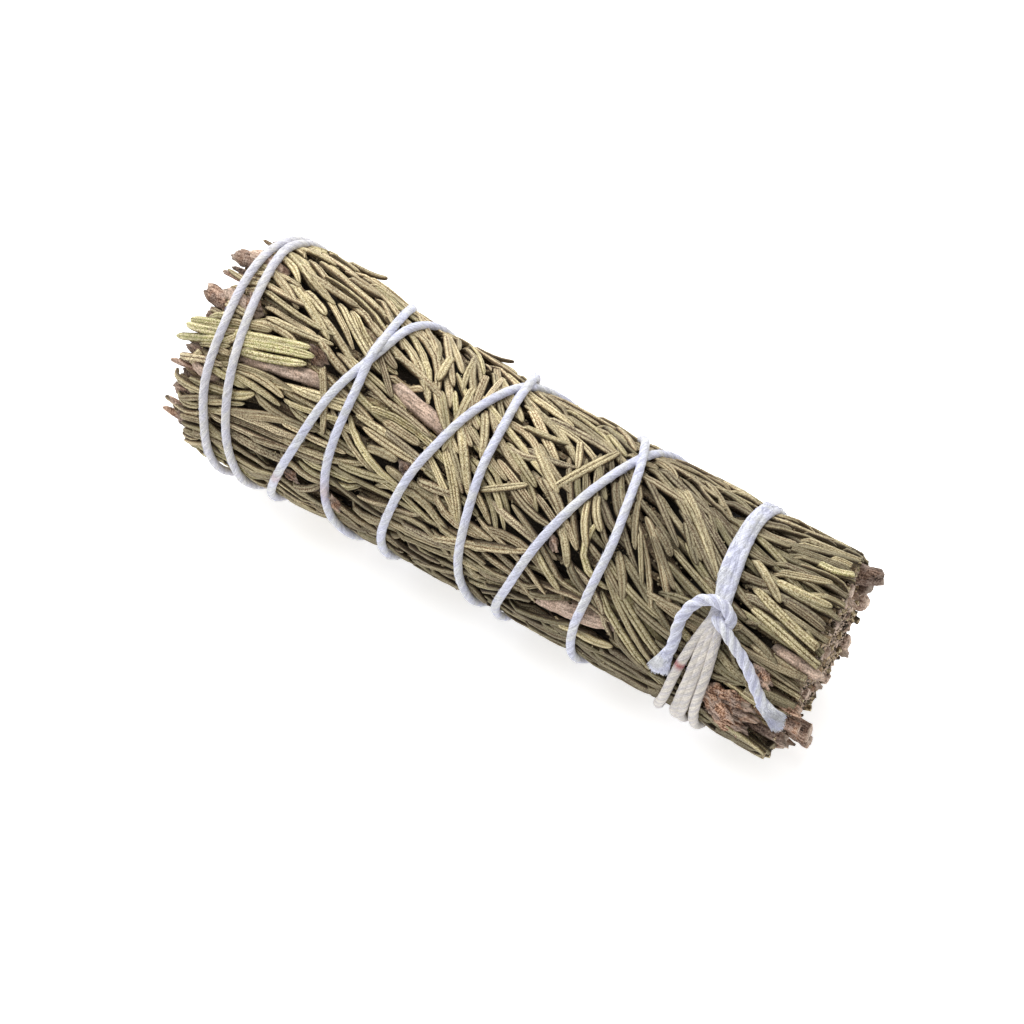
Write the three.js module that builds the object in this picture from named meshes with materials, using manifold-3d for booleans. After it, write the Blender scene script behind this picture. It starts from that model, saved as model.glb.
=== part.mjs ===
// Rosemary bundle: dried rosemary sprigs laid side by side into a thick stick, wound from end to
// end with one length of cotton string, and knotted near the cut ends of the stems.
//
// Frame, in millimetres: +X runs along the bundle towards its cut butt end, +Z is up, and the
// origin lies on the resting surface under the middle of the bundle. An angle round the bundle
// is 0 at the top and grows towards -Y, the front.

import * as THREE from "three";
import Module from "manifold-3d";

const wasm = await Module();
wasm.setup();

// ---------------------------------------------------------------- driving dimensions

const BUNDLE_LENGTH = 100;        // from the furthest tip to the furthest cut stem
const BODY_RADIUS = 13.7;         // the bundle's foliage, at its waist
const BULGE = { extra: 1.9, x: -42, reach: 17.4 };   // the looser, wider tip end
const FLAT_SHARE = 0.955;         // depth of the pressed underside, as a share of the radius
const FLAT_POWER = 30;            // how sharply the round side turns into the pressed underside
const GAP = 0.3;                  // clearance between pieces that touch
const SMALLEST_EDGE = 0.05;       // facets finer than this are merged

const FOLIAGE_END = { tip: -42.6, butt: 44.4 };      // where the sprigs' cores end
const NEEDLE = { length: 16, radius: 0.76, rise: 2.1, sunk: 1.3, widest: 0.8 };
const TIP_REACH = { most: -48.4, least: -44.6 };     // how far the needles' tips come out

const STRING_RADIUS = 0.88;
const STRING_SIDES = 6;
const STRING_STEP = 20;           // degrees of turn between two sections of the string
const STRING_FIRST = 30;          // the angle at which the string leaves the knot
const STRING_LAST = 4350;         // and comes back to it, twelve turns later
const FLOOR_BITE = 0.05;          // how much the resting surface flattens the string

const SPRIG_RINGS = [
  // name, number of sprigs, inner and outer radius as shares of the bundle's, stem's radius
  { name: "outer", count: 10, inner: 0.505, outer: null, stemShare: 0.647, stem: 1.22 },
  { name: "inner", count: 5, inner: 0.236, outer: 0.477, stemShare: 0.357, stem: 0.92 },
  { name: "core", count: 1, inner: 0, outer: 0.2, stemShare: 0, stem: 0.95 },
];

const SWAY = { degrees: 3.6, reach: 9.5 };           // how the sprigs' sides wind along
const LANES = 5;                  // needles side by side on an outer sprig
const ROW_PITCH = 14.0;           // and how far apart they follow each other along it

// Where each outer sprig's stem ends beyond the foliage, at the tip end and at the butt end.
const OUTER_STEM_REACH = [
  [-50, 47.6], [-46.9, 49.2], [-45.6, 50], [-44.6, 47.9], [-46.3, 48.8],
  [-45.2, 47.2], [-46.0, 48.4], [-44.9, 49.0], [-46.6, 47.5], [-48.9, 48.6],
];
// Needles of the deeper layers: across the cell, and out from the axis as a share of the radius.
const END_SPOTS = {
  outer: [[0.22, 0.6], [0.78, 0.61], [0.15, 0.73], [0.85, 0.71], [0.7, 0.81]],
  inner: [[0.2, 0.3], [0.8, 0.3], [0.17, 0.425], [0.83, 0.42]],
  core: [[0.1, 0.142], [0.35, 0.142], [0.6, 0.142], [0.85, 0.142]],
};
const THICK_AT_TIP = [0, 9];      // outer sprigs that lie the other way round
const STEM_SIDES = 5;
const STEM_STATIONS = 6;

// The string's way round the bundle: angle in degrees counted on through all turns, and x.
const STRING_ROUTE = [
  [30, 33.4], [45, 32.6], [64, 31.6], [95, 31.0], [118, 29.7], [160, 27.5], [200, 24.5],
  [250, 19.5], [303, 15.2], [322, 13.9], [341, 13.1], [358, 12.0], [381, 10.2], [408, 8.1],
  [437, 6.1], [457, 4.5], [470, 3.9], [560, 3.4], [600, 2.5], [640, 0.0], [655, -2.0], [677, -5.4],
  [704, -7.1], [727, -8.7], [747, -10.0], [766, -11.4], [790, -12.6], [818, -13.8],
  [900, -14.6], [940, -16.0], [975, -18.6], [1010, -21.2], [1048, -23.0], [1081, -23.6],
  [1111, -25.7], [1141, -27.5], [1160, -29.1], [1179, -30.8], [1198, -32.2], [1260, -34.2],
  [1295, -35.8], [1330, -39.2], [1370, -43.0], [1410, -43.7], [1429, -42.7], [1447, -41.4],
  [1461, -40.5], [1488, -39.0], [1513, -37.8], [1545, -36.7], [1620, -36.6], [1655, -38.0],
  [1690, -41.8], [1730, -44.7], [1774, -44.9], [1796, -44.4], [1827, -43.0], [1856, -42.2],
  [1880, -41.1], [1913, -40.8], [1980, -40.8], [2015, -39.3], [2050, -34.5], [2090, -28.9],
  [2103, -27.3], [2141, -24.7], [2183, -23.1], [2227, -22.7], [2260, -21.8], [2278, -20.5],
  [2340, -19.3], [2375, -17.3], [2410, -13.4], [2445, -9.0], [2463, -7.1], [2493, -5.4],
  [2522, -3.8], [2544, -3.1], [2572, -2.1], [2607, -1.4], [2628, -0.6], [2700, 0.2],
  [2735, 1.8], [2770, 5.0], [2805, 8.4], [2823, 9.6], [2842, 11.7], [2862, 14.0], [2880, 15.5],
  [2901, 16.8], [2915, 17.2], [2941, 16.9], [2959, 16.3], [2998, 15.8], [3060, 17.0],
  [3100, 20.0], [3140, 24.5], [3183, 28.4], [3227, 29.9], [3255, 31.4], [3271, 32.6],
  [3304, 32.8], [3335, 32.3], [3420, 30.8], [3500, 29.6], [3543, 29.8], [3587, 30.8],
  [3631, 33.2], [3664, 33.9], [3695, 33.5], [3780, 32.2], [3860, 31.0], [3903, 30.8],
  [3947, 31.6], [3991, 33.9], [4024, 35.1], [4055, 34.8], [4140, 33.2], [4220, 31.4],
  [4263, 30.4], [4307, 30.8], [4350, 33.2],
];

// Where the string rides over a turn laid before it: angle counted on through all turns.
const CROSSINGS = [2020, 2032, 2165, 2398, 2473, 2758, 2847, 3112];
const CROSSING_LIFT = { height: 1.2, reach: 12 };
const BAND_LIFTS = [[3587, 0.5], [4307, -0.35]];

// The knot and the two tails: angle, x and height above the string that lies on the foliage.
const LEFT_TAIL = [
  [73, 28.5, 0.0], [66, 29.1, 0.0], [59, 29.5, 0.1], [51, 29.2, 0.3], [44, 28.9, 0.5],
  [37, 29.5, 0.9], [32, 30.9, 1.5], [29, 32.6, 2.1], [30, 34.4, 2.0], [34, 35.6, 1.2],
  [38, 35.4, 0.7],
];
const RIGHT_TAIL = [
  [36, 31.6, 0.8], [33, 32.6, 1.7], [34, 34.0, 2.1], [38, 35.1, 1.4], [43, 36.3, 0.6],
  [48, 37.9, 0.2], [54, 39.3, 0.0], [60, 41.2, 0.0], [66, 43.7, 0.0], [72, 46.0, 0.0],
];
const FRAY = { spread: 1.55, length: 2.2 };

const NEEDLE_GREEN = new THREE.Color("#827c58");
const STEM_BROWN = new THREE.Color("#8a6a58");
const COTTON_WHITE = new THREE.Color("#dcdce4");

// ---------------------------------------------------------------- the bundle's form

const rad = THREE.MathUtils.degToRad;

function bundleRadius(x) {
  return BODY_RADIUS + BULGE.extra * Math.exp(-(((x - BULGE.x) / BULGE.reach) ** 2));
}

// Distance from the axis to the foliage's outside, with the underside pressed flat.
function outline(x, angle) {
  const radius = bundleRadius(x);
  const down = -Math.cos(angle);
  if (down <= 0.01) return radius;
  const flat = (FLAT_SHARE * radius) / down;
  return (radius ** -FLAT_POWER + flat ** -FLAT_POWER) ** (-1 / FLAT_POWER);
}

// Distance from the axis to the middle of a string that lies on the foliage. The sections are
// straight between two steps, so they stand off by the height of the arc that they cut.
function stringDistance(x, angle) {
  const half = rad(STRING_STEP / 2);
  const arcHeight = bundleRadius(x) * (1 - Math.cos(half));
  const widest = Math.max(...[-half, 0, half].map((turn) => outline(x, angle + turn)));
  return widest + arcHeight + GAP + STRING_RADIUS;
}

// Height of the bundle's axis: the string's flat outer side rests on the surface.
function axisHeight(x) {
  const beside = rad(180 - STRING_STEP / 2);
  const flatSide = STRING_RADIUS * Math.cos(Math.PI / STRING_SIDES);
  return -stringDistance(x, beside) * Math.cos(beside) + flatSide - FLOOR_BITE;
}

function place(x, angle, distance) {
  return new THREE.Vector3(
    x, -distance * Math.sin(angle), axisHeight(x) + distance * Math.cos(angle));
}

function outward(angle) {
  return new THREE.Vector3(0, -Math.sin(angle), Math.cos(angle));
}

// A seeded draw, so that every needle comes out the same each time.
function seededDraw(seed) {
  let state = seed;
  return (low, high) => {
    state = (state * 1664525 + 1013904223) % 4294967296;
    return low + (high - low) * (state / 4294967296);
  };
}

// ---------------------------------------------------------------- solids

// A closed body through rings of points, with a flat or fanned cap at each end. Each ring runs
// anticlockwise about the direction of travel. A ring of one point is a tip.
function loft(rings) {
  const points = rings.flat();
  const starts = [];
  rings.reduce((start, ring) => (starts.push(start), start + ring.length), 0);
  const faces = [];
  for (let r = 0; r + 1 < rings.length; r += 1) {
    const sides = rings[r].length;
    const [from, to] = [starts[r], starts[r + 1]];
    for (let i = 0; i < sides; i += 1) {
      const next = (i + 1) % sides;
      if (rings[r + 1].length === 1) {
        faces.push(from + i, from + next, to);
      } else {
        faces.push(from + i, from + next, to + next, from + i, to + next, to + i);
      }
    }
  }
  const last = starts[rings.length - 1];
  for (let i = 1; i + 1 < rings[0].length; i += 1) faces.push(0, i + 1, i);
  for (let i = 1; i + 1 < rings.at(-1).length; i += 1) faces.push(last, last + i, last + i + 1);
  return new wasm.Manifold(new wasm.Mesh({
    numProp: 3,
    vertProperties: new Float32Array(points.flatMap((point) => point.toArray())),
    triVerts: new Uint32Array(faces),
  }));
}

// Rings of a round rod along a path. `up` gives the direction in which the first corner points,
// and `turn` turns the section about the path.
function rodRings(path, radii, sides, up, turn = 0) {
  return path.map((point, i) => {
    if (radii[i] === 0) return [point];
    const before = path[Math.max(i - 1, 0)];
    const after = path[Math.min(i + 1, path.length - 1)];
    const along = new THREE.Vector3().subVectors(after, before).normalize();
    const high = up(i).clone().projectOnPlane(along).normalize();
    const side = new THREE.Vector3().crossVectors(along, high);
    return Array.from({ length: sides }, (_, k) => {
      const angle = turn + (2 * Math.PI * k) / sides;
      return point.clone()
        .addScaledVector(high, radii[i] * Math.cos(angle))
        .addScaledVector(side, radii[i] * Math.sin(angle));
    });
  });
}

// All pieces of one body joined into one solid.
function joined(solids) {
  const whole = solids.reduce((sum, solid) => sum.add(solid)).asOriginal().simplify(SMALLEST_EDGE);
  const bodies = whole.decompose();
  return bodies.reduce((best, body) => (body.volume() > best.volume() ? body : best));
}

function meshOf(name, solid, color, roughness) {
  const { vertProperties, triVerts } = solid.getMesh();
  const geometry = new THREE.BufferGeometry();
  geometry.setAttribute("position", new THREE.BufferAttribute(vertProperties, 3));
  geometry.setIndex(new THREE.BufferAttribute(triVerts, 1));
  geometry.computeVertexNormals();
  const material = new THREE.MeshStandardMaterial({ color, roughness, metalness: 0 });
  const mesh = new THREE.Mesh(geometry, material);
  mesh.name = name;
  return mesh;
}

// ---------------------------------------------------------------- the sprigs

// One sprig's own share of the bundle's section: a wavy sector between its neighbours. `across`
// runs from 0 at one side to 1 at the other.
class Cell {
  constructor(ring, index) {
    this.ring = ring;
    this.width = 360 / ring.count;
    this.middle = 8 + index * this.width;
    this.index = index;
  }

  // A boundary in degrees; neighbours share it, so it depends only on its own number.
  boundary(number, x) {
    const own = (number + this.ring.count) % this.ring.count;
    const sway = this.ring.count > 1 ? SWAY.degrees * Math.sin(x / SWAY.reach + own * 2.4) : 0;
    return 8 + (number - 0.5) * this.width + sway;
  }

  angle(across, x) {
    const low = this.boundary(this.index, x);
    const high = this.boundary(this.index + 1, x);
    return rad(low + (high - low) * across);
  }

  // The nearest that something of this half width may come to the cell's side.
  keepInside(across, x, distance, halfWidth) {
    if (this.ring.count === 1) return across;
    const width = rad(this.width) * distance;
    const margin = (halfWidth + GAP / 2) / width;
    return THREE.MathUtils.clamp(across, margin, 1 - margin);
  }

  coreDistance(x, angle) {
    const { outer } = this.ring;
    return outer === null ? outline(x, angle) - NEEDLE.rise : outer * bundleRadius(x);
  }

  stemPoint(x) {
    return place(x, this.angle(0.5, x), this.ring.stemShare * bundleRadius(x));
  }
}

// The slim middle of a sprig, from which its needles stand out.
function coreSolid(cell, ends) {
  const single = cell.ring.count === 1;
  const outerSteps = single ? [0, 1, 2, 3, 4, 5, 6, 7].map((i) => i / 8) : [0, 1 / 3, 2 / 3, 1];
  const innerSteps = single ? [] : [1, 0.5, 0];
  const stations = 6;
  const rings = Array.from({ length: stations }, (_, i) => {
    const x = THREE.MathUtils.lerp(ends.tip, ends.butt, i / (stations - 1));
    const corner = (across, distance) => {
      const inset = single ? 0 : (0.5 - across) * (GAP / distance);
      const angle = cell.angle(across, x) + inset;
      return place(x, angle, distance);
    };
    const outer = outerSteps.map((s) => corner(s, cell.coreDistance(x, cell.angle(s, x))));
    const inner = innerSteps.map((s) => corner(s, cell.ring.inner * bundleRadius(x)));
    return [...outer, ...inner];
  });
  return loft(rings);
}

// One three-sided needle: its root lies sunk in the core, and its tip reaches the outline.
function needleSolid(cell, start, length, drift, bow) {
  const shares = [0, NEEDLE.widest, 1];
  const radii = [0.85, 1, 0].map((share) => share * NEEDLE.radius);
  const angles = [];
  const path = shares.map((share, i) => {
    const x = start.x - length * share;
    const lean = drift * share + bow * share * (1 - share);
    const loose = start.across + lean / (rad(cell.width) * BODY_RADIUS);
    const across = cell.keepInside(loose, x, BODY_RADIUS - NEEDLE.rise, NEEDLE.radius);
    const angle = cell.angle(across, x);
    angles.push(angle);
    const root = cell.coreDistance(x, angle) - start.sunk;
    const top = outline(x, angle) - NEEDLE.radius * 0.85;
    const risen = Math.min(share / NEEDLE.widest, 1);
    return place(x, angle, THREE.MathUtils.lerp(root, top, risen));
  });
  return loft(rodRings(path, radii, 3, (i) => outward(angles[i])));
}

// Needles that cover the outside of an outer sprig in overlapping rows.
function coverNeedles(cell, ends, draw) {
  const solids = [];
  for (let lane = 0; lane < LANES; lane += 1) {
    const across = (lane + 0.5) / LANES;
    const stagger = ((lane * 2) % LANES) / LANES + ((lane % 2) * 0.5) / LANES;
    let x = ends.butt + draw(0.6, 2.4);
    let sunk = NEEDLE.radius * 0.35;
    while (x > ends.tip + 5) {
      const flow = 3.2 * Math.sin(x / 13 + cell.index * 1.9);
      const room = x - draw(TIP_REACH.most, TIP_REACH.least);
      const length = Math.min(NEEDLE.length * draw(0.86, 1.1), room);
      const start = { x, across: across + draw(-0.03, 0.03), sunk };
      solids.push(needleSolid(cell, start, length, flow + draw(-0.9, 0.9), draw(-0.5, 0.5)));
      const first = sunk !== NEEDLE.sunk;
      x -= first ? ROW_PITCH * (0.45 + 0.55 * stagger) : ROW_PITCH + draw(-0.6, 0.6);
      sunk = NEEDLE.sunk;
    }
  }
  return solids;
}

// Needles of the deeper layers, which show only on the two ends of the bundle.
function endNeedles(cell, ends, draw) {
  const solids = [];
  for (const spot of endSpots(cell)) {
    for (const end of ["tip", "butt"]) {
      const out = end === "tip" ? -1 : 1;
      const reach = end === "tip" ? draw(2.2, 5.0) : draw(0.8, 2.4);
      const from = ends[end] - out * 2;
      const radii = end === "tip" ? [0.62, 0.62, 0] : [0.58, 0.58];
      const steps = end === "tip" ? [0, reach + 1.2, reach + 2] : [0, reach + 2];
      const splay = draw(-0.02, 0.02);
      const path = steps.map((step) => {
        const x = from + out * step;
        const angle = cell.angle(spot.across + splay * step, x);
        return place(x, angle, spot.share * bundleRadius(x));
      });
      const up = () => outward(cell.angle(spot.across, from));
      solids.push(loft(rodRings(path, radii, 3, up, draw(0, 2))));
    }
  }
  return solids;
}

// Where they stand: across the cell, and out from the axis as a share of the bundle's radius.
function endSpots(cell) {
  return END_SPOTS[cell.ring.name].map(([across, share]) => ({ across, share }));
}

// A woody stem, or with `wall` and `beyond` the hole that it lies in, which follows it.
function stemSolid(cell, reach, thick, wall, beyond) {
  const last = STEM_STATIONS - 1;
  const path = [];
  const radii = [];
  for (let i = 0; i <= last; i += 1) {
    const share = i / last;
    const point = cell.stemPoint(THREE.MathUtils.lerp(reach[0], reach[1], share));
    if (i === 0) point.x -= beyond;
    if (i === last) point.x += beyond;
    const towardsButt = thick ? 1 - share : share;
    path.push(point);
    radii.push(cell.ring.stem * (0.72 + 0.28 * towardsButt) + wall);
  }
  return loft(rodRings(path, radii, STEM_SIDES, () => new THREE.Vector3(0, 0, 1)));
}

function sprig(ring, index) {
  const cell = new Cell(ring, index);
  const ringNumber = SPRIG_RINGS.indexOf(ring);
  const draw = seededDraw(7 + 31 * index + 977 * ringNumber);
  const ends = {
    tip: FOLIAGE_END.tip + draw(-0.9, 0.9),
    butt: FOLIAGE_END.butt + draw(-0.7, 0.7),
  };
  const outer = ring.name === "outer";
  const reach = outer ? OUTER_STEM_REACH[index] : [draw(-47, -44.5), draw(46.6, 48.6)];
  const thick = outer && THICK_AT_TIP.includes(index);
  const cover = outer ? coverNeedles(cell, ends, draw) : [];
  const foliage = joined([coreSolid(cell, ends), ...cover, ...endNeedles(cell, ends, draw)]);
  const wall = GAP / Math.cos(Math.PI / STEM_SIDES);
  const hole = stemSolid(cell, reach, thick, wall, 4);
  const stem = stemSolid(cell, reach, thick, 0, 0);
  const number = String(index + 1).padStart(2, "0");
  return [
    meshOf(`${ring.name}_sprig_${number}_needles`, joined([foliage.subtract(hole)]),
      NEEDLE_GREEN, 0.85),
    meshOf(`${ring.name}_sprig_${number}_stem`, stem, STEM_BROWN, 0.9),
  ];
}

// ---------------------------------------------------------------- the string

// x at any angle of the winding: a smooth curve through the points of the route.
function routeX(angle) {
  const next = Math.max(1, STRING_ROUTE.findIndex(([turn]) => turn >= angle));
  const knot = (i) => STRING_ROUTE[THREE.MathUtils.clamp(i, 0, STRING_ROUTE.length - 1)];
  const [before, from, to, after] = [knot(next - 2), knot(next - 1), knot(next), knot(next + 1)];
  const span = to[0] - from[0];
  const slopeFrom = (to[1] - before[1]) / Math.max(to[0] - before[0], 1);
  const slopeTo = (after[1] - from[1]) / Math.max(after[0] - from[0], 1);
  const t = (angle - from[0]) / span;
  return (1 + 2 * t) * (1 - t) ** 2 * from[1] + t * (1 - t) ** 2 * span * slopeFrom
    + t * t * (3 - 2 * t) * to[1] + t * t * (t - 1) * span * slopeTo;
}

function routeLift(angle) {
  const hump = (middle) => Math.exp(-(((angle - middle) / CROSSING_LIFT.reach) ** 2));
  const crossing = CROSSINGS.reduce((sum, middle) => Math.max(sum, hump(middle)), 0);
  const band = BAND_LIFTS.reduce((sum, [middle, height]) => sum + height * hump(middle), 0);
  return CROSSING_LIFT.height * crossing + band;
}

// A length of string laid round the bundle, through points of angle, x and lift. A flat side of
// its section faces out, and `radii` gives its half thickness at each point.
function stringSolid(laid, radii) {
  const path = laid.map(([angle, x, lift]) => {
    const turn = rad(angle);
    return place(x, turn, stringDistance(x, turn) + lift);
  });
  const flatOut = Math.PI / STRING_SIDES;
  const up = (i) => outward(rad(laid[i][0]));
  return loft(rodRings(path, radii, STRING_SIDES, up, flatOut));
}

function windingSolid() {
  const laid = [];
  for (let angle = STRING_FIRST; angle <= STRING_LAST; angle += STRING_STEP) {
    laid.push([angle, routeX(angle), routeLift(angle)]);
  }
  return stringSolid(laid, laid.map(() => STRING_RADIUS));
}

// A tail, whose cut end has spread into a flat tuft.
function tailSolid(points, frayedFirst) {
  const ordered = frayedFirst ? points : [...points].reverse();
  const radii = ordered.map((_, i) => STRING_RADIUS * (i === 0 ? FRAY.spread : 1));
  return stringSolid(ordered, radii);
}

function cottonString() {
  const half = BUNDLE_LENGTH;
  const corners = (z) => [[-half, -half], [half, -half], [half, half], [-half, half]]
    .map(([x, y]) => new THREE.Vector3(x, y, z));
  const below = loft([corners(-half), corners(0)]);
  const parts = [windingSolid(), tailSolid(LEFT_TAIL, true), tailSolid(RIGHT_TAIL, false)];
  return meshOf("cotton_string", joined(parts).subtract(below), COTTON_WHITE, 0.95);
}

// ---------------------------------------------------------------- the bundle

const bundle = new THREE.Group();
for (const ring of SPRIG_RINGS) {
  for (let index = 0; index < ring.count; index += 1) bundle.add(...sprig(ring, index));
}
bundle.add(cottonString());

export default bundle;
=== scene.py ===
"""Rosemary bundle: dried sprigs laid side by side, wound with cotton string and knotted.

Lengths are in millimetres and turn to metres where a mesh is made. +X runs along the bundle
towards its cut butt end and +Z is up. An angle round the bundle is 0 at the top and grows
towards -Y, the front. A height is measured out from the bundle's outline, the surface on which
its outer needles lie.
"""

import logging
import math
from collections.abc import Callable, Sequence
from dataclasses import dataclass, field
from enum import Enum
from functools import partial

import bpy
import numpy as np
from mathutils import Matrix, Vector


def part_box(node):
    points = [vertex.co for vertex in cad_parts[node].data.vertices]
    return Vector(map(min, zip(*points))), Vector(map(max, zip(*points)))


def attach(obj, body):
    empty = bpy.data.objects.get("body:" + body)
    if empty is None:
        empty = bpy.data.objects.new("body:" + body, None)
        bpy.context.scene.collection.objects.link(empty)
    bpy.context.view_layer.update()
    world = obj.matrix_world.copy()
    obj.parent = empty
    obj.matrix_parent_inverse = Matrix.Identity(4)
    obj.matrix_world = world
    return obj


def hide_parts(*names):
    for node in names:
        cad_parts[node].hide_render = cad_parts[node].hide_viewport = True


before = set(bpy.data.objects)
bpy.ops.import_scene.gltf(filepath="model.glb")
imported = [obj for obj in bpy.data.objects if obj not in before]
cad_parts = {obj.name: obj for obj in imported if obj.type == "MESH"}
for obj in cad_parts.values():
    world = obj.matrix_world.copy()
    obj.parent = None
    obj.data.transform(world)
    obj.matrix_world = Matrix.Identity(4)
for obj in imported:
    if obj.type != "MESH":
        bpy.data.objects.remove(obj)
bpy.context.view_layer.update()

MM = 0.001                       # metres in a millimetre
LOG = logging.getLogger("rosemary_bundle")

Array = np.ndarray
Draw = np.random.Generator
Rows = tuple[tuple[float, ...], ...]
Material = bpy.types.Material
Sockets = dict[str, object]
Stops = tuple[tuple[float, str], ...]
AddNode = Callable[..., bpy.types.Node]

TURN = 2 * math.pi


def unit(vectors: Array, guard: float = 0.0) -> Array:
    """Vectors at a length of one."""
    return vectors / (np.linalg.norm(vectors, axis=-1, keepdims=True) + guard)


def directions(path: Array, out: Array, guard: float = 0.0) -> tuple[Array, Array, Array]:
    """The directions that go with each point of a path.

    Args:
        path: Points along it.
        out: Roughly the way up at each.
        guard: A hair of length, where a vector may have none.

    Returns:
        Along it, across it, and up from it.
    """
    along = unit(np.gradient(path, axis=-2), guard)
    side = unit(np.cross(along, out), guard)
    return along, side, np.cross(side, along)


def run_along(path: Array) -> Array:
    """How far along a path each of its points is."""
    steps = np.linalg.norm(np.diff(path, axis=0), axis=1)
    return np.concatenate([[0.0], np.cumsum(steps)])


def read_at(places: Array, run: Array, values: Array) -> Array:
    """Values known along a run, at other places of it.

    Args:
        places: How far along the run to read.
        run: How far along it each value stands.
        values: One row to each of them.

    Returns:
        One row to each place.
    """
    if values.ndim == 1:
        return np.interp(places, run, values)
    return np.stack([np.interp(places, run, column) for column in values.T], axis=-1)


def shares(count: int) -> Array:
    """Even steps from 0 to 1."""
    return np.linspace(0, 1, count)


def together(*values: Array) -> Array:
    """Values side by side, as the last axis of one array."""
    return np.stack(np.broadcast_arrays(*values), axis=-1)


def eased(t: Array, start: Array, end: Array, slopes: tuple[Array, Array],
          span: Array | float = 1.0) -> Array:
    """A smooth way from one value to another, at shares t of a span, by the slopes there."""
    return ((1 + 2 * t) * (1 - t) ** 2 * start + t * (1 - t) ** 2 * span * slopes[0]
            + t * t * (3 - 2 * t) * end + t * t * (t - 1) * span * slopes[1])


def surface_line(ends: tuple[float, ...], samples: int) -> tuple[Array, Array]:
    """A straight line on the surface.

    Args:
        ends: x and degrees of one end, then of the other.
        samples: How many places along it.

    Returns:
        x, and angle in radians.
    """
    x, angle, end_x, end_angle = ends
    share = shares(samples)
    return x + (end_x - x) * share, np.radians(angle + (end_angle - angle) * share)


# ---- the bundle's form


@dataclass(frozen=True)
class BundleForm:
    """The outside of the bundle: a thick round stick that widens towards its tips."""

    waist_radius: float = 13.7
    bulge_extra: float = 1.9
    bulge_x: float = -42.0
    bulge_reach: float = 17.4
    flat_share: float = 0.955        # depth of the pressed underside, as a share of the radius
    flat_power: float = 30.0
    clearance: float = 0.3           # between the foliage's solid and the string's
    string_radius: float = 0.88
    string_step: float = 20.0        # degrees of turn between two sections of the string's solid
    string_sides: int = 6
    floor_bite: float = 0.05
    tip_end: float = -42.6           # where the sprigs' cores end
    butt_end: float = 43.6
    core_depth: float = 2.1          # from the outline down to the outer sprigs' cores
    shears_x: float = 43.3           # where the shears cut through the butt end's middle
    shears_tilt: float = 3.8         # how much further out they cut one side
    shears_bearing: float = 42.0     # the angle of that side, in degrees
    squared_x: float = 43.6
    ragged_tip: float = -45.3        # where most needles end at the tip end
    furthest_tip: float = -49.9

    def radius(self, x: Array) -> Array:
        """Radius of the foliage at x."""
        return self.waist_radius + self.bulge_extra * np.exp(
            -(((x - self.bulge_x) / self.bulge_reach) ** 2))

    def outline(self, x: Array, angle: Array) -> Array:
        """Distance from the axis to the foliage's outside, with the underside pressed flat.

        Args:
            x: Place along the bundle.
            angle: Place round it.

        Returns:
            The distance in millimetres.
        """
        radius = self.radius(x)
        down = np.maximum(-np.cos(angle), 0.01)
        flat = self.flat_share * radius / down
        power = self.flat_power
        pressed = radius * (1.0 + (radius / flat) ** power) ** (-1.0 / power)
        return np.where(-np.cos(angle) <= 0.01, radius, pressed)

    def axis_height(self, x: Array) -> Array:
        """Height of the bundle's axis above the surface that the string rests on.

        Args:
            x: Place along the bundle.

        Returns:
            The height in millimetres.
        """
        half = math.radians(self.string_step / 2)
        beside = math.pi - half
        widest = np.max([self.outline(x, beside + turn) for turn in (-half, 0.0, half)], axis=0)
        arc = self.radius(x) * (1 - math.cos(half))
        distance = widest + arc + self.clearance + self.string_radius
        flat_side = self.string_radius * math.cos(math.pi / self.string_sides)
        return -distance * math.cos(beside) + flat_side - self.floor_bite

    def place(self, x: Array, angle: Array, distance: Array) -> Array:
        """The point at a distance from the axis.

        Args:
            x: Place along the bundle.
            angle: Place round it.
            distance: How far out.

        Returns:
            An array whose last axis holds x, y and z.
        """
        x, angle, distance = np.broadcast_arrays(x, angle, distance)
        return np.stack([x, -distance * np.sin(angle),
                         self.axis_height(x) + distance * np.cos(angle)], axis=-1)

    def lift(self, x: Array, angle: Array, height: Array) -> Array:
        """Point at a height above the outline."""
        return self.place(x, angle, self.outline(x, angle) + height)

    def cut_x(self, angle: Array, share: Array = 1.0) -> Array:
        """Where the shears cut: aslant in front.

        Args:
            angle: Place round the bundle.
            share: Share of the way out from the axis.

        Returns:
            x of the cut there.
        """
        turn = angle - math.radians(self.shears_bearing)
        aslant = self.shears_x + self.shears_tilt * share * np.cos(turn)
        return 0.5 * (aslant + self.squared_x + np.hypot(aslant - self.squared_x, 0.6))

    def on_cut_face(self, draw: Draw, count: int, sunk: float) -> tuple[Array, Array, Array]:
        """Strews places on the cut face.

        Args:
            draw: The random draws.
            count: How many.
            sunk: How deep the deepest lies.

        Returns:
            x, angle and share of the way out.
        """
        angle = draw.uniform(0, TURN, count)
        share = np.sqrt(draw.uniform(0, 1, count)) * 0.9
        depth = np.clip(draw.normal(sunk, 0.3, count), -0.9, 0.0)
        return self.cut_x(angle, share) + depth, angle, share

    def ragged_x(self, angle: Array) -> Array:
        """Where the needles end at the tip end, further out in some places than in others."""
        return self.ragged_tip + 0.9 * np.sin(3 * angle + 0.6) + 0.7 * np.sin(7 * angle + 2)

    @staticmethod
    def outward(angle: Array) -> Array:
        """Direction straight out from the axis."""
        return np.stack([np.zeros_like(angle), -np.sin(angle), np.cos(angle)], axis=-1)


FORM = BundleForm()


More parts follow.
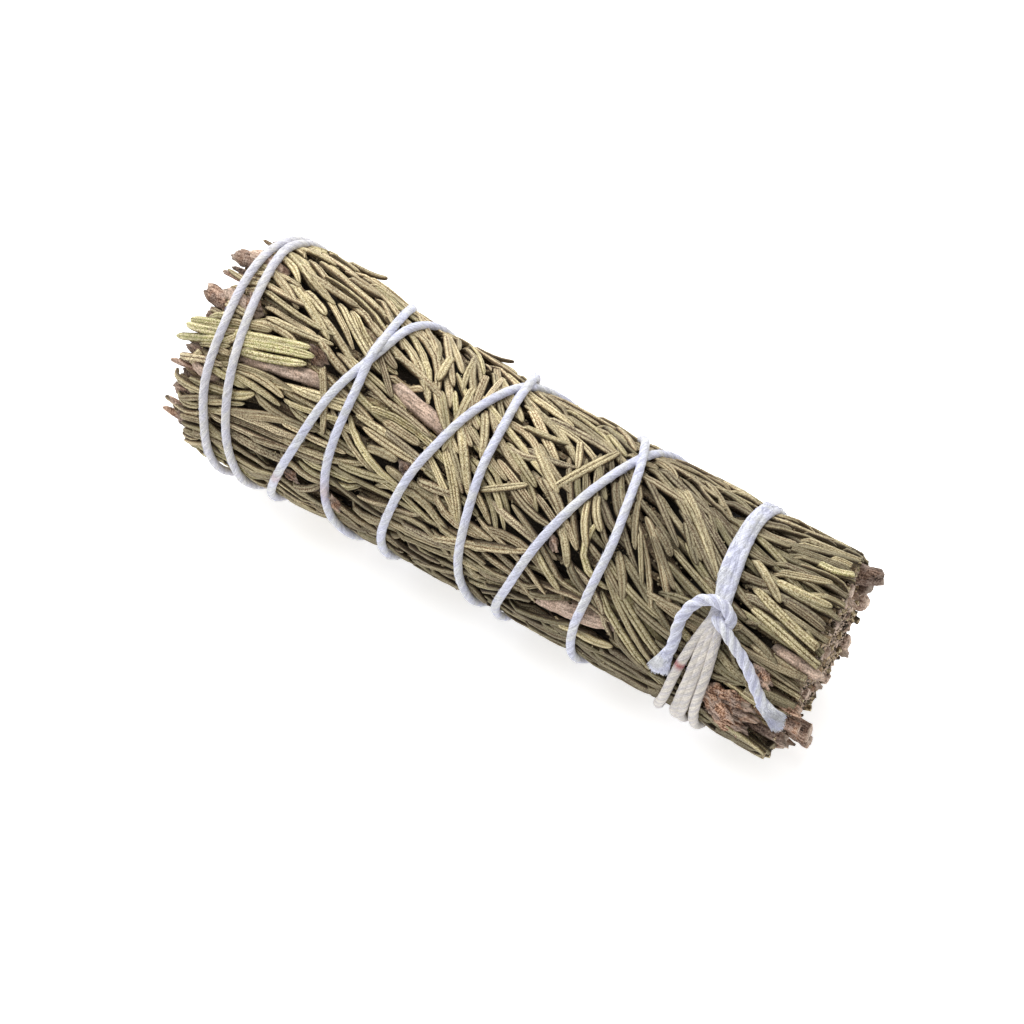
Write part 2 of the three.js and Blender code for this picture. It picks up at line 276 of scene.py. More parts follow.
@dataclass(frozen=True)
class StringRoute:
    """The string's way round the bundle: the angle counted on through all turns, and x."""

    first: float = 30.0
    last: float = 4350.0
    points: Rows = (
        (30, 33.4), (45, 32.6), (64, 31.6), (95, 30.2), (118, 28.6), (160, 26.6),
        (200, 24.5), (250, 19.5), (303, 15.2), (322, 13.9), (341, 13.1), (358, 12),
        (381, 10.2), (408, 8.1), (437, 6.1), (457, 4.5), (470, 3.9), (560, 3.4),
        (600, 2.5), (640, 0), (655, -2), (677, -5.4), (704, -7.1), (727, -8.7),
        (747, -10), (766, -11.4), (790, -12.6), (818, -13.8), (900, -14.6), (940, -16),
        (975, -18.6), (1010, -21.2), (1048, -23), (1081, -23.6), (1111, -25.7),
        (1141, -27.5), (1160, -29.1), (1179, -30.8), (1198, -32.2), (1260, -34.2),
        (1295, -35.8), (1330, -39.2), (1370, -43), (1410, -43.7), (1429, -42.7),
        (1447, -41.4), (1461, -40.5), (1488, -39), (1513, -37.8), (1545, -36.7),
        (1620, -36.6), (1655, -38), (1690, -41.8), (1730, -44.7), (1774, -44.9),
        (1796, -44.4), (1827, -43), (1856, -42.2), (1880, -41.1), (1913, -40.8),
        (1980, -40.8), (2015, -39.3), (2050, -34.5), (2090, -28.9), (2103, -27.3),
        (2141, -24.7), (2183, -23.1), (2227, -22.7), (2260, -21.8), (2278, -20.5),
        (2340, -19.3), (2375, -17.3), (2410, -13.4), (2445, -9), (2463, -7.1),
        (2493, -5.4), (2522, -3.8), (2544, -3.1), (2572, -2.1), (2607, -1.4), (2628, -0.6),
        (2700, 0.2), (2735, 1.8), (2770, 5), (2805, 8.4), (2823, 9.6), (2842, 11.7),
        (2862, 14), (2880, 15.5), (2901, 16.8), (2915, 17.2), (2941, 16.9), (2959, 16.3),
        (2998, 15.8), (3060, 17), (3100, 20), (3140, 24.5), (3183, 29), (3227, 30.3),
        (3255, 31.4), (3271, 32.8), (3304, 33.2), (3335, 32.2), (3350, 31.4), (3420, 29.8),
        (3500, 29.2), (3543, 29.8), (3587, 30.8), (3631, 33.2), (3664, 33.9), (3695, 33.1),
        (3708, 32.4), (3780, 31.2), (3860, 31), (3903, 30.6), (3947, 31.4), (3991, 33.9),
        (4024, 35.1), (4059, 34.5), (4140, 33), (4220, 31.4), (4263, 30.4), (4307, 30.8),
        (4350, 33.2),
    )
    crossings: tuple[float, ...] = (2020, 2032, 2165, 2398, 2473, 2758, 2847, 3112)
    crossing_height: float = 1.0
    band_lifts: Rows = ((3587, 0.5), (4307, -0.35))
    hump_reach: float = 12.0
    bearing: float = 0.42            # how far the rope's middle stands off its own radius
    rope_radius: float = 0.61
    sunk: float = 0.62               # how much deeper it is pressed in at the back

    def x(self, turned: Array) -> Array:
        """Reads a smooth curve through the points of the route.

        Args:
            turned: Angle counted on from the first turn.

        Returns:
            x there.
        """
        knots = np.array(self.points)
        index = np.clip(np.searchsorted(knots[:, 0], turned), 1, len(knots) - 1)
        last = len(knots) - 1
        before, start = knots[np.maximum(index - 2, 0)], knots[index - 1]
        end, after = knots[index], knots[np.minimum(index + 1, last)]
        span = end[:, 0] - start[:, 0]
        slope_start = (end[:, 1] - before[:, 1]) / np.maximum(end[:, 0] - before[:, 0], 1)
        slope_end = (after[:, 1] - start[:, 1]) / np.maximum(after[:, 0] - start[:, 0], 1)
        return eased((turned - start[:, 0]) / span, start[:, 1], end[:, 1],
                     (slope_start, slope_end), span)

    def rise(self, turned: Array) -> Array:
        """Extra height where the string rides over a turn laid before it.

        Args:
            turned: Angle counted on from the first turn.

        Returns:
            The height in millimetres.
        """
        def hump(middle: float) -> Array:
            """Height share of one hump."""
            return np.exp(-(((turned - middle) / self.hump_reach) ** 2))
        crossing = np.max([hump(middle) for middle in self.crossings], axis=0)
        band = sum(height * hump(middle) for middle, height in self.band_lifts)
        return self.crossing_height * crossing + band

    def middle_height(self, angle: Array) -> Array:
        """Height of the rope's middle above the outline: more where the bundle rests on it.

        Args:
            angle: Place round the bundle.

        Returns:
            The height in millimetres.
        """
        rests = 0.72 * np.maximum(-np.cos(angle), 0) ** 2
        behind = np.maximum(np.sin(-angle - 0.35), 0) ** 0.7
        return self.bearing + self.rope_radius + rests - self.sunk * behind

    def distance_to_strand(self, x: Array, angle: Array) -> Array:
        """Distance on the surface from each point to the nearest strand.

        Args:
            x: Place along the bundle.
            angle: Place round it.

        Returns:
            The distance in millimetres.
        """
        nearest = np.full(np.broadcast(x, angle).shape, 99.0)
        degrees = np.degrees(angle) % 360.0
        for turn in range(13):
            turned = degrees + 360.0 * turn
            inside = (turned >= self.first) & (turned <= self.last)
            held = np.clip(turned, self.first, self.last)
            flat = held.ravel()
            strand = self.x(flat).reshape(held.shape)
            ahead = self.x(np.minimum(flat + 2, self.last)).reshape(held.shape)
            slope = (ahead - strand) / math.radians(2) / FORM.waist_radius
            distance = np.abs(x - strand) / np.sqrt(1 + slope ** 2)
            nearest = np.where(inside, np.minimum(nearest, distance), nearest)
        return nearest


ROUTE = StringRoute()


@dataclass(frozen=True)
class SprigCell:
    """One sprig's own share of the bundle's section: a wavy sector between its neighbours."""

    ring: str
    index: int
    count: int
    inner: float                     # shares of the bundle's radius
    outer: float | None
    stem_share: float
    stem_radius: float
    first_angle: float = 8.0
    sway: float = 3.6
    sway_reach: float = 9.5

    @property
    def name(self) -> str:
        """The name that the sprig's nodes begin with."""
        return f"{self.ring}_sprig_{self.index + 1:02d}"

    def boundary(self, number: int, x: Array) -> Array:
        """A side in degrees; neighbours share it, so it depends only on its own number.

        Args:
            number: The side's own number.
            x: Place along the bundle.

        Returns:
            Its angle.
        """
        own = number % self.count
        sway = self.sway * np.sin(x / self.sway_reach + own * 2.4) if self.count > 1 else 0.0
        return self.first_angle + (number - 0.5) * 360.0 / self.count + sway

    def angle(self, across: Array, x: Array) -> Array:
        """Angle in radians of a place across the cell, from 0 at one side to 1 at the other."""
        low, high = self.boundary(self.index, x), self.boundary(self.index + 1, x)
        return np.radians(low + (high - low) * across)

    def holds(self, x: Array, angle: Array) -> Array:
        """Whether a point on the surface lies in this cell.

        Args:
            x: Place along the bundle.
            angle: Place round it.

        Returns:
            True where it does.
        """
        middle = np.degrees(self.angle(0.5, x))
        off = (np.degrees(angle) - middle + 180.0) % 360.0 - 180.0
        high = self.boundary(self.index + 1, x) - middle
        low = self.boundary(self.index, x) - middle
        return (off >= low) & (off < high)


def sprig_cells() -> list[SprigCell]:
    """Shares the bundle out among its sprigs.

    Returns:
        Every sprig, from the outside in.
    """
    outer = [SprigCell("outer", i, 10, 0.505, None, 0.647, 1.22) for i in range(10)]
    inner = [SprigCell("inner", i, 5, 0.236, 0.477, 0.357, 0.92) for i in range(5)]
    return [*outer, *inner, SprigCell("core", 0, 1, 0.0, 0.2, 0.0, 0.95)]


# ---- meshes


@dataclass
class Skin:
    """A mesh in the making: points in millimetres, faces, and a value of each kind a point."""

    points: list[Array] = field(default_factory=list)
    quads: list[Array] = field(default_factory=list)
    triangles: list[Array] = field(default_factory=list)
    look: list[Array] = field(default_factory=list)
    grain: list[Array] = field(default_factory=list)
    total: int = 0

    def add(self, points: Array, quads: Array, triangles: Array, look: Array,
            grain: Array) -> None:
        """Adds points with their faces, whose numbers start from 0.

        Args:
            points: Places, one row each.
            quads: Faces of four corners.
            triangles: Faces of three corners.
            look: What the finish reads for its colour, three values a point.
            grain: Where the point is on the piece's own surface, in millimetres.
        """
        self.points.append(points.reshape(-1, 3))
        self.look.append(look.reshape(-1, 3))
        self.grain.append(grain.reshape(-1, 3))
        if len(quads):
            self.quads.append(quads.reshape(-1, 4) + self.total)
        if len(triangles):
            self.triangles.append(triangles.reshape(-1, 3) + self.total)
        self.total += self.points[-1].shape[0]

    def add_tubes(self, rings: Array, look: Array, grain: Array,
                  caps: tuple[float, float] = (0.0, 0.0),
                  start_look: tuple[float, float, float] | None = None,
                  end_look: tuple[float, float, float] | None = None,
                  twisted: bool = False) -> None:
        """Adds closed tubes through rings of points, each with a fan at both ends.

        Args:
            rings: Tubes, rings, corners and coordinates, in that order of axes.
            look: Colour values for each corner.
            grain: Surface coordinates for each corner.
            caps: How far the middle of each end stands out, in steps of the last two rings.
            start_look: The look of the first end's middle, where it has its own.
            end_look: The same for the last end.
            twisted: Whether faces are split along the lines of a right-hand twist.
        """
        tubes, count, sides = rings.shape[:3]
        body = count * sides
        own = body + 2
        first = rings[:, 0].mean(axis=1)
        last = rings[:, -1].mean(axis=1)
        first = first + (first - rings[:, 1].mean(axis=1)) * caps[0]
        last = last + (last - rings[:, -2].mean(axis=1)) * caps[1]

        def with_ends(values: Array, ends: Sequence[Array]) -> Array:
            """Each tube's values, followed by those of its two end points."""
            return np.concatenate([values.reshape(tubes, body, 3), ends[0][:, None],
                                   ends[1][:, None]], axis=1)
        points = with_ends(rings, (first, last))
        looks = with_ends(look, [
            own.mean(axis=1) if chosen is None else np.broadcast_to(np.array(chosen), (tubes, 3))
            for own, chosen in ((look[:, 0], start_look), (look[:, -1], end_look))])
        grains = with_ends(grain, (grain[:, 0].mean(axis=1), grain[:, -1].mean(axis=1)))
        ring, side = np.indices((count - 1, sides))
        following = (side + 1) % sides
        quads = np.stack([ring * sides + side, ring * sides + following,
                          (ring + 1) * sides + following, (ring + 1) * sides + side], axis=-1)
        around = np.arange(sides)
        ahead = (around + 1) % sides
        end = (count - 1) * sides
        opening = np.stack([ahead, around, np.full(sides, body)], axis=-1)
        closing = np.stack([end + around, end + ahead, np.full(sides, body + 1)], axis=-1)
        quads = quads.reshape(-1, 4)
        fans = np.concatenate([opening, closing])
        if twisted:
            fans = np.concatenate([fans, quads[:, [0, 1, 3]], quads[:, [1, 2, 3]]])
            quads = quads[:0]
        starts = (np.arange(tubes) * own)[:, None, None]
        self.add(points, quads[None] + starts, fans[None] + starts, looks, grains)

    def add_crumbs(self, middles: Array, sizes: Array, look: Array, draw: Draw) -> None:
        """Adds angular crumbs, each a bent octahedron of its own size, turned at random.

        Args:
            middles: Where they lie.
            sizes: About how far the corners of each stand off.
            look: The three values of each.
            draw: The random draws.
        """
        count = len(middles)
        first = unit(draw.normal(0, 1, (count, 3)))
        second = unit(np.cross(first, draw.normal(0, 1, (count, 3))))
        axes = np.stack([first, second, np.cross(first, second)], axis=1)
        corners = np.concatenate([axes, -axes], axis=1) * draw.uniform(0.5, 1.25, (count, 6, 1))
        points = middles[:, None] + corners * sizes[:, None, None]
        faces = np.array([(0, 1, 2), (1, 3, 2), (3, 4, 2), (4, 0, 2), (1, 0, 5), (3, 1, 5),
                          (4, 3, 5), (0, 4, 5)])
        starts = (np.arange(count) * 6)[:, None, None]
        looks = np.repeat(look[:, None], 6, axis=1)
        self.add(points, np.zeros((0, 4), int), faces[None] + starts, looks, points * 1.0)

    def settle(self, name: str, material: Material, slot: str, *nodes: str) -> None:
        """Makes a piece that the bundle carries.

        Args:
            name: The piece's name.
            material: Its finish.
            slot: Not used.
            *nodes: The nodes that it stands for.
        """
        piece = self.make(name, material)
        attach(piece, "root")
        if nodes:
            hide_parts(*nodes)
        faces = sum(len(polygon.vertices) - 2 for polygon in piece.data.polygons)
        LOG.info("%s: %d triangles", piece.name, faces)

    def make(self, name: str, material: Material,
             smooth: bool = True) -> bpy.types.Object:
        """Makes the object, in metres.

        Args:
            name: The piece's name.
            material: Its finish.
            smooth: Whether its faces are shaded as one surface.

        Returns:
            The new object, already in the scene.
        """
        quads = np.concatenate(self.quads) if self.quads else np.zeros((0, 4), int)
        triangles = np.concatenate(self.triangles) if self.triangles else np.zeros((0, 3), int)
        corners = np.concatenate([quads.ravel(), triangles.ravel()])
        starts = np.concatenate([np.arange(len(quads)) * 4,
                                 len(quads) * 4 + np.arange(len(triangles)) * 3])
        mesh = bpy.data.meshes.new(name)
        mesh.vertices.add(self.total)
        mesh.vertices.foreach_set("co", (np.concatenate(self.points) * MM).ravel())
        mesh.loops.add(len(corners))
        mesh.loops.foreach_set("vertex_index", corners)
        mesh.polygons.add(len(starts))
        mesh.polygons.foreach_set("loop_start", starts)
        mesh.polygons.foreach_set("use_smooth", np.full(len(starts), smooth))
        mesh.update(calc_edges=True)
        for kind, values in (("look", self.look), ("grain", self.grain)):
            layer = mesh.attributes.new(kind, "FLOAT_VECTOR", "POINT")
            layer.data.foreach_set("vector", np.concatenate(values).astype(np.float32).ravel())
        mesh.materials.append(material)
        piece = bpy.data.objects.new(name, mesh)
        bpy.context.scene.collection.objects.link(piece)
        return piece


# ---- finishes


def linear(code: str) -> tuple[float, float, float, float]:
    """Turns an sRGB colour into a linear one.

    Args:
        code: Hex string with its hash.

    Returns:
        Red, green, blue and alpha.
    """
    parts = [int(code[i:i + 2], 16) / 255 for i in (1, 3, 5)]
    light = [c / 12.92 if c <= 0.04045 else ((c + 0.055) / 1.055) ** 2.4 for c in parts]
    return light[0], light[1], light[2], 1.0


def add_node(tree: bpy.types.NodeTree, kind: str, *sources: object,
             named: Sockets | None = None, stops: Stops = (),
             **settings: object) -> bpy.types.Node:
    """Adds a node, with its settings and what goes into it.

    Args:
        tree: The material's nodes.
        kind: The type of node, without the words that the name of every one begins with.
        *sources: What goes into its inputs in use, in their order: a number, a vector, a hex
            code, a socket, or a node, which stands for its first output in use.
        named: The same, for inputs that are better called by their names.
        stops: Place and hex code of each stop of a colour ramp.
        **settings: The node's own settings.

    Returns:
        The new node.
    """
    node = tree.nodes.new("ShaderNode" + kind)
    for name, value in settings.items():
        setattr(node, name, value)
    for number, (place, code) in enumerate(stops):
        ramp = node.color_ramp.elements
        stop = ramp[number] if number < len(ramp) else ramp.new(place)
        stop.position = place
        stop.color = linear(code)
    in_use = [socket for socket in node.inputs if socket.enabled]
    by_name = [(node.inputs[name], value) for name, value in (named or {}).items()]
    for socket, value in [*zip(in_use, sources), *by_name]:
        if isinstance(value, bpy.types.Node):
            value = next(output for output in value.outputs if output.enabled)
        if isinstance(value, bpy.types.NodeSocket):
            tree.links.new(value, socket)
        else:
            socket.default_value = linear(value) if isinstance(value, str) else value
    return node


def new_material(name: str) -> tuple[Material, AddNode]:
    """Starts an empty material.

    Args:
        name: What it is called.

    Returns:
        The material, and what adds a node to it.
    """
    material = bpy.data.materials.new(name)
    material.use_nodes = True
    material.node_tree.nodes.clear()
    return material, partial(add_node, material.node_tree)


def read_mesh(add: AddNode) -> tuple[list[bpy.types.NodeSocket], bpy.types.NodeSocket]:
    """Reads what a skin stores on its mesh.

    Args:
        add: What adds a node.

    Returns:
        The three values of the look, and the place on the mesh's own surface in millimetres.
    """
    look, grain = (add("Attribute", attribute_name=name).outputs["Vector"]
                   for name in ("look", "grain"))
    return list(add("SeparateXYZ", look).outputs), grain


def add_skin(add: AddNode, colour: object, height: bpy.types.Node, strength: float,
             depth: float, **shader: object) -> None:
    """Ends a material with its skin.

    Args:
        add: What adds a node.
        colour: The skin's colour.
        height: How high each place stands.
        strength: How strongly the heights are felt.
        depth: How deep they are, in millimetres.
        **shader: The skin's constants, with _ for each space in a name.
    """
    bump = add("Bump", named={"Height": height, "Strength": strength, "Distance": depth * MM})
    constants = {name.replace("_", " "): value for name, value in shader.items()}
    skin = add("BsdfPrincipled", colour, named={"Normal": bump, **constants})
    add("OutputMaterial", skin)


@dataclass(frozen=True)
class DriedNeedleFinish:
    """Dried rosemary needles: a leathery leaf gone olive and brown, dusted with fine hairs.

    Drying gives each one its own colour, from brown through olive straw to grey green, and resin
    dots speckle the skin. Painted shade darkens the furrow and the sides where needles touch, and
    a painted highlight makes the rolled margins paler.
    """

    browned: str = "#8f7763"
    straw_brown: str = "#a98d69"
    straw: str = "#b4a077"
    yellow_olive: str = "#b6a871"
    grey_green: str = "#a2a460"
    scorched: str = "#7d5a3a"        # where the skin has browned, in spots and along the margins
    # painted shade: the near-black colour of the furrows, of the sides where needles touch, of the
    # undersides and of the hearts
    furrow: str = "#17110c"
    # the colour of the pale hairs, and of the painted highlight on the ridges
    pale_hairs_and_highlight: str = "#e5d9b2"
    dark_dots: str = "#3f3427"
    speckle_size: float = 0.15       # mm: resin dots, drawn three times as coarse to show
    spot_size: float = 0.6           # mm
    blotch_size: float = 1 / 0.45    # mm
    streak_width: float = 0.12       # mm across the needle
    streak_length: float = 2.4       # mm along it
    tones: tuple[float, float] = (0.36, 1.22)  # brightness of the darkest and palest needle
    roughness: float = 0.72
    bump_depth: float = 0.035        # mm

    def make(self) -> Material:
        """Builds the material. Its look holds hue, tone, and the painted shade of furrow and
        sides, which is a painted highlight below nought.

        Returns:
            The material.
        """
        material, add = new_material("dried_rosemary_needle")
        (own_hue, own_tone, furrow), grain = read_mesh(add)
        hue = add("ValToRGB", own_hue, stops=(
            (0.0, self.browned), (0.3, self.straw_brown), (0.55, self.straw),
            (0.8, self.yellow_olive), (1.0, self.grey_green)))
        stretch = (1 / self.streak_length, 1 / self.streak_width, 1.0)
        along = add("VectorMath", grain, stretch, operation="MULTIPLY")
        streak = add("TexNoise", along, 0.6, 3.0)
        dots = add("TexNoise", grain, 1 / self.speckle_size, 3.0, 0.65)
        blotch = add("TexNoise", grain, 1 / self.blotch_size, 2.0)
        # Brightness: the needle's own tone, lengthwise streaks and slow blotches.
        tone = add("MapRange", own_tone, 0, 1, *self.tones)
        streaked = add("MapRange", streak, 0.3, 0.7, 0.66, 1.3)
        blotched = add("MapRange", blotch, 0.3, 0.7, 0.82, 1.14)
        shade = add("Math", tone, streaked, operation="MULTIPLY")
        shade = add("Math", shade, blotched, operation="MULTIPLY")
        # Browned spots, and browned margins where the look's third value starts to rise.
        spots = add("TexNoise", grain, 1 / self.spot_size, 3.0)
        margin = add("MapRange", furrow, -0.1, 0.6, 0, 0.26)
        spotted = add("Math", spots, margin, operation="ADD")
        browned = add("MapRange", spotted, 0.45, 0.72, 0, 0.75)
        scorched = add("Mix", browned, hue, self.scorched, data_type="RGBA")
        # Pale hairs dust the skin; on the ridges, where the look's third value is negative, a
        # painted highlight adds more of their colour.
        ridge_highlight = add("MapRange", furrow, 0.1, -0.4, 0, 0.16)
        hairs_and_ridge_highlight = add("Math", dots, ridge_highlight, operation="ADD")
        pale = add("MapRange", hairs_and_ridge_highlight, 0.5, 0.67)
        haired_and_highlit = add("Mix", pale, scorched, self.pale_hairs_and_highlight, data_type="RGBA")
        body = add("VectorMath", haired_and_highlit, shade, operation="SCALE")
        dark = add("MapRange", dots, 0.47, 0.33, 0, 0.9)
        dotted = add("Mix", dark, body, self.dark_dots, data_type="RGBA")
        # Painted shade: the look's third value darkens the furrow, the sides where needles touch
        # and the underside towards near black.
        furrow_and_gap_shaded = add("Mix", furrow, dotted, self.furrow, data_type="RGBA")
        height = add("Math", streak, dots, operation="ADD")
        add_skin(add, furrow_and_gap_shaded, height, 0.7, self.bump_depth, Roughness=self.roughness,
                 IOR=1.45, Specular_IOR_Level=0.35)
        return material


@dataclass(frozen=True)
class WoodyStemFinish:
    """Woody rosemary stem: thin fibrous bark over pale tan wood, broken or cut with shears.

    The bark is pinkish grey brown and splits into lengthwise fibres, and where it has peeled
    the wood shows redder. A cut end is paler, with a darker pith.
    """

    bark: str = "#92796a"
    bark_light: str = "#b8a496"
    bark_dark: str = "#3d322c"
    peeled_dark: str = "#40291e"
    peeled: str = "#90684f"
    peeled_light: str = "#cbab92"
    cut_wood: str = "#c9b6a4"
    fibre_width: float = 0.2         # mm
    fibre_length: float = 1.3        # mm
    grit: float = 0.2                # mm: pores and lichen specks, drawn coarse to show
    patch_size: float = 2.0          # mm
    tones: tuple[float, float] = (0.3, 1.3)
    roughness: float = 0.85
    bump_depth: float = 0.16         # mm

    def make(self) -> Material:
        """Builds the material. Its look holds cut wood, tone and peeled bark.

        Returns:
            The material.
        """
        material, add = new_material("woody_rosemary_stem")
        (cut, own_tone, own_peeling), grain = read_mesh(add)
        stretch = (1 / self.fibre_length, 1 / self.fibre_width, 1 / self.fibre_width)
        along = add("VectorMath", grain, stretch, operation="MULTIPLY")
        fibre = add("TexNoise", along, 0.55, 4.0)
        patch = add("TexNoise", grain, 1 / self.patch_size, 3.0)
        grit = add("TexNoise", grain, 1 / self.grit, 2.0)
        rough = add("Mix", 0.5, fibre, grit)
        bark = add("ValToRGB", rough, stops=(
            (0.36, self.bark_dark), (0.47, self.bark), (0.62, self.bark_light)))
        reddish = add("ValToRGB", rough, stops=(
            (0.38, self.peeled_dark), (0.48, self.peeled), (0.62, self.peeled_light)))
        bare = add("MapRange", patch, 0.44, 0.54)
        peeled = add("Math", bare, own_peeling, operation="MULTIPLY")
        skinned = add("Mix", peeled, bark, reddish, data_type="RGBA")
        wood = add("Mix", cut, skinned, self.cut_wood, data_type="RGBA")
        tone = add("MapRange", own_tone, 0, 1, *self.tones)
        gritty = add("MapRange", rough, 0.38, 0.6, 0.68, 1.22)
        shade = add("Math", tone, gritty, operation="MULTIPLY")
        shaded = add("VectorMath", wood, shade, operation="SCALE")
        add_skin(add, shaded, rough, 0.9, self.bump_depth, Roughness=self.roughness,
                 IOR=1.5, Specular_IOR_Level=0.3)
        return material


@dataclass(frozen=True)
class CottonFinish:
    """Bleached cotton string, twisted from soft plies: matt, slightly fuzzy, bluish white.

    Fine fibres streak each ply, the valleys between plies are greyed a little with painted
    shade, and the stretch below the knot is creamier.
    """

    bleached: str = "#dddff0"
    neutral: str = "#d9dadd"
    creamy: str = "#dad3c9"
    # painted shade in the valleys between plies
    valley_shade: str = "#9a9bb8"
    stain: str = "#a23338"
    fibre_width: float = 0.07        # mm, some four cotton fibres side by side
    fibre_length: float = 1.6        # mm
    nap: float = 0.17                # mm: tufts of loose fibre ends, drawn coarse to show
    soil_size: float = 2.4           # mm
    roughness: float = 0.9
    bump_depth: float = 0.06         # mm

    def make(self) -> Material:
        """Builds the material. Its look holds cream, the painted shade of the valleys, and stain.

        Returns:
            The material.
        """
        material, add = new_material("bleached_cotton_string")
        (creaminess, depth, staining), grain = read_mesh(add)
        stretch = (1 / self.fibre_length, 1 / self.fibre_width, 1 / self.fibre_width)
        along = add("VectorMath", grain, stretch, operation="MULTIPLY")
        fibre = add("TexNoise", along, 0.5, 3.0)
        where = add("TexCoord").outputs["Object"]
        soiled = add("TexNoise", where, 1 / (self.soil_size * MM), 2.0)
        patchy = add("MapRange", soiled, 0.42, 0.6)
        blued = add("Mix", patchy, self.bleached, self.neutral, data_type="RGBA")
        cream = add("Mix", creaminess, blued, self.creamy, data_type="RGBA")
        # Painted shade: the look's second value greys the valleys between plies.
        greyed = add("Math", depth, 0.9, operation="MULTIPLY")
        valleys = add("Mix", greyed, cream, self.valley_shade, data_type="RGBA")
        stained = add("Mix", staining, valleys, self.stain, data_type="RGBA")
        nap = add("TexNoise", grain, 1 / self.nap, 2.0)
        mixed = add("Mix", 0.5, fibre, nap)
        streak = add("MapRange", mixed, 0.36, 0.64, 0.62, 1.2)
        dirt = add("MapRange", soiled, 0.35, 0.7, 0.92, 1.03)
        # Painted light: spread tufts of clean fibre ends, whose look's second value is below 0,
        # are painted brighter, as if lit.
        painted_tuft_light = add("MapRange", depth, -1, 0, 1.22, 1)
        shade = add("Math", streak, dirt, operation="MULTIPLY")
        shade = add("Math", shade, painted_tuft_light, operation="MULTIPLY")
        colour = add("VectorMath", stained, shade, operation="SCALE")
        add_skin(add, colour, mixed, 0.9, self.bump_depth, Roughness=self.roughness,
                 Specular_IOR_Level=0.2, Sheen_Weight=0.25, Sheen_Roughness=0.5)
        return material


@dataclass(frozen=True)
class PaperFloorFinish:
    """Matt white paper on a light table: nearly white, with a barely visible tooth."""

    paper: str = "#f6f6f6"
    tooth: float = 0.4               # mm
    bump_depth: float = 0.02         # mm
    glow: float = 0.66               # what the light table adds, so that shadows stay pale

    def make(self) -> Material:
        """Builds the material.

        Returns:
            The material.
        """
        material, add = new_material("matt_white_paper")
        where = add("TexCoord").outputs["Object"]
        tooth = add("TexNoise", where, 1 / (self.tooth * MM))
        add_skin(add, self.paper, tooth, 0.1, self.bump_depth, Roughness=0.95,
                 Specular_IOR_Level=0.1, Emission_Color=self.paper,
                 Emission_Strength=self.glow)
        return material


# ---- how the needles lie


class End(Enum):
    """How a needle ends."""

    ROUNDED = "its own blunt tip"
    CUT = "cut or snapped through"


class Face(Enum):
    """Which face of a needle looks outwards."""

    UPPER = "smooth, with one fine furrow"
    LOWER = "two rolled margins and the pale groove between them"


@dataclass
class Needle:
    """One needle where it lies: its line from stalk to tip, and its build."""

    x: Array
    angle: Array                     # radians
    height: Array                    # of its middle above the outline
    half_width: float
    half_depth: float
    face: Face
    roll: float                      # degrees that it is turned out of its face
    hue: float
    tone: float
    end: End = End.ROUNDED
    furrow: float = 1.0              # how deep its furrow is
    shown: float = 1.0               # the share of it that no later needle covers


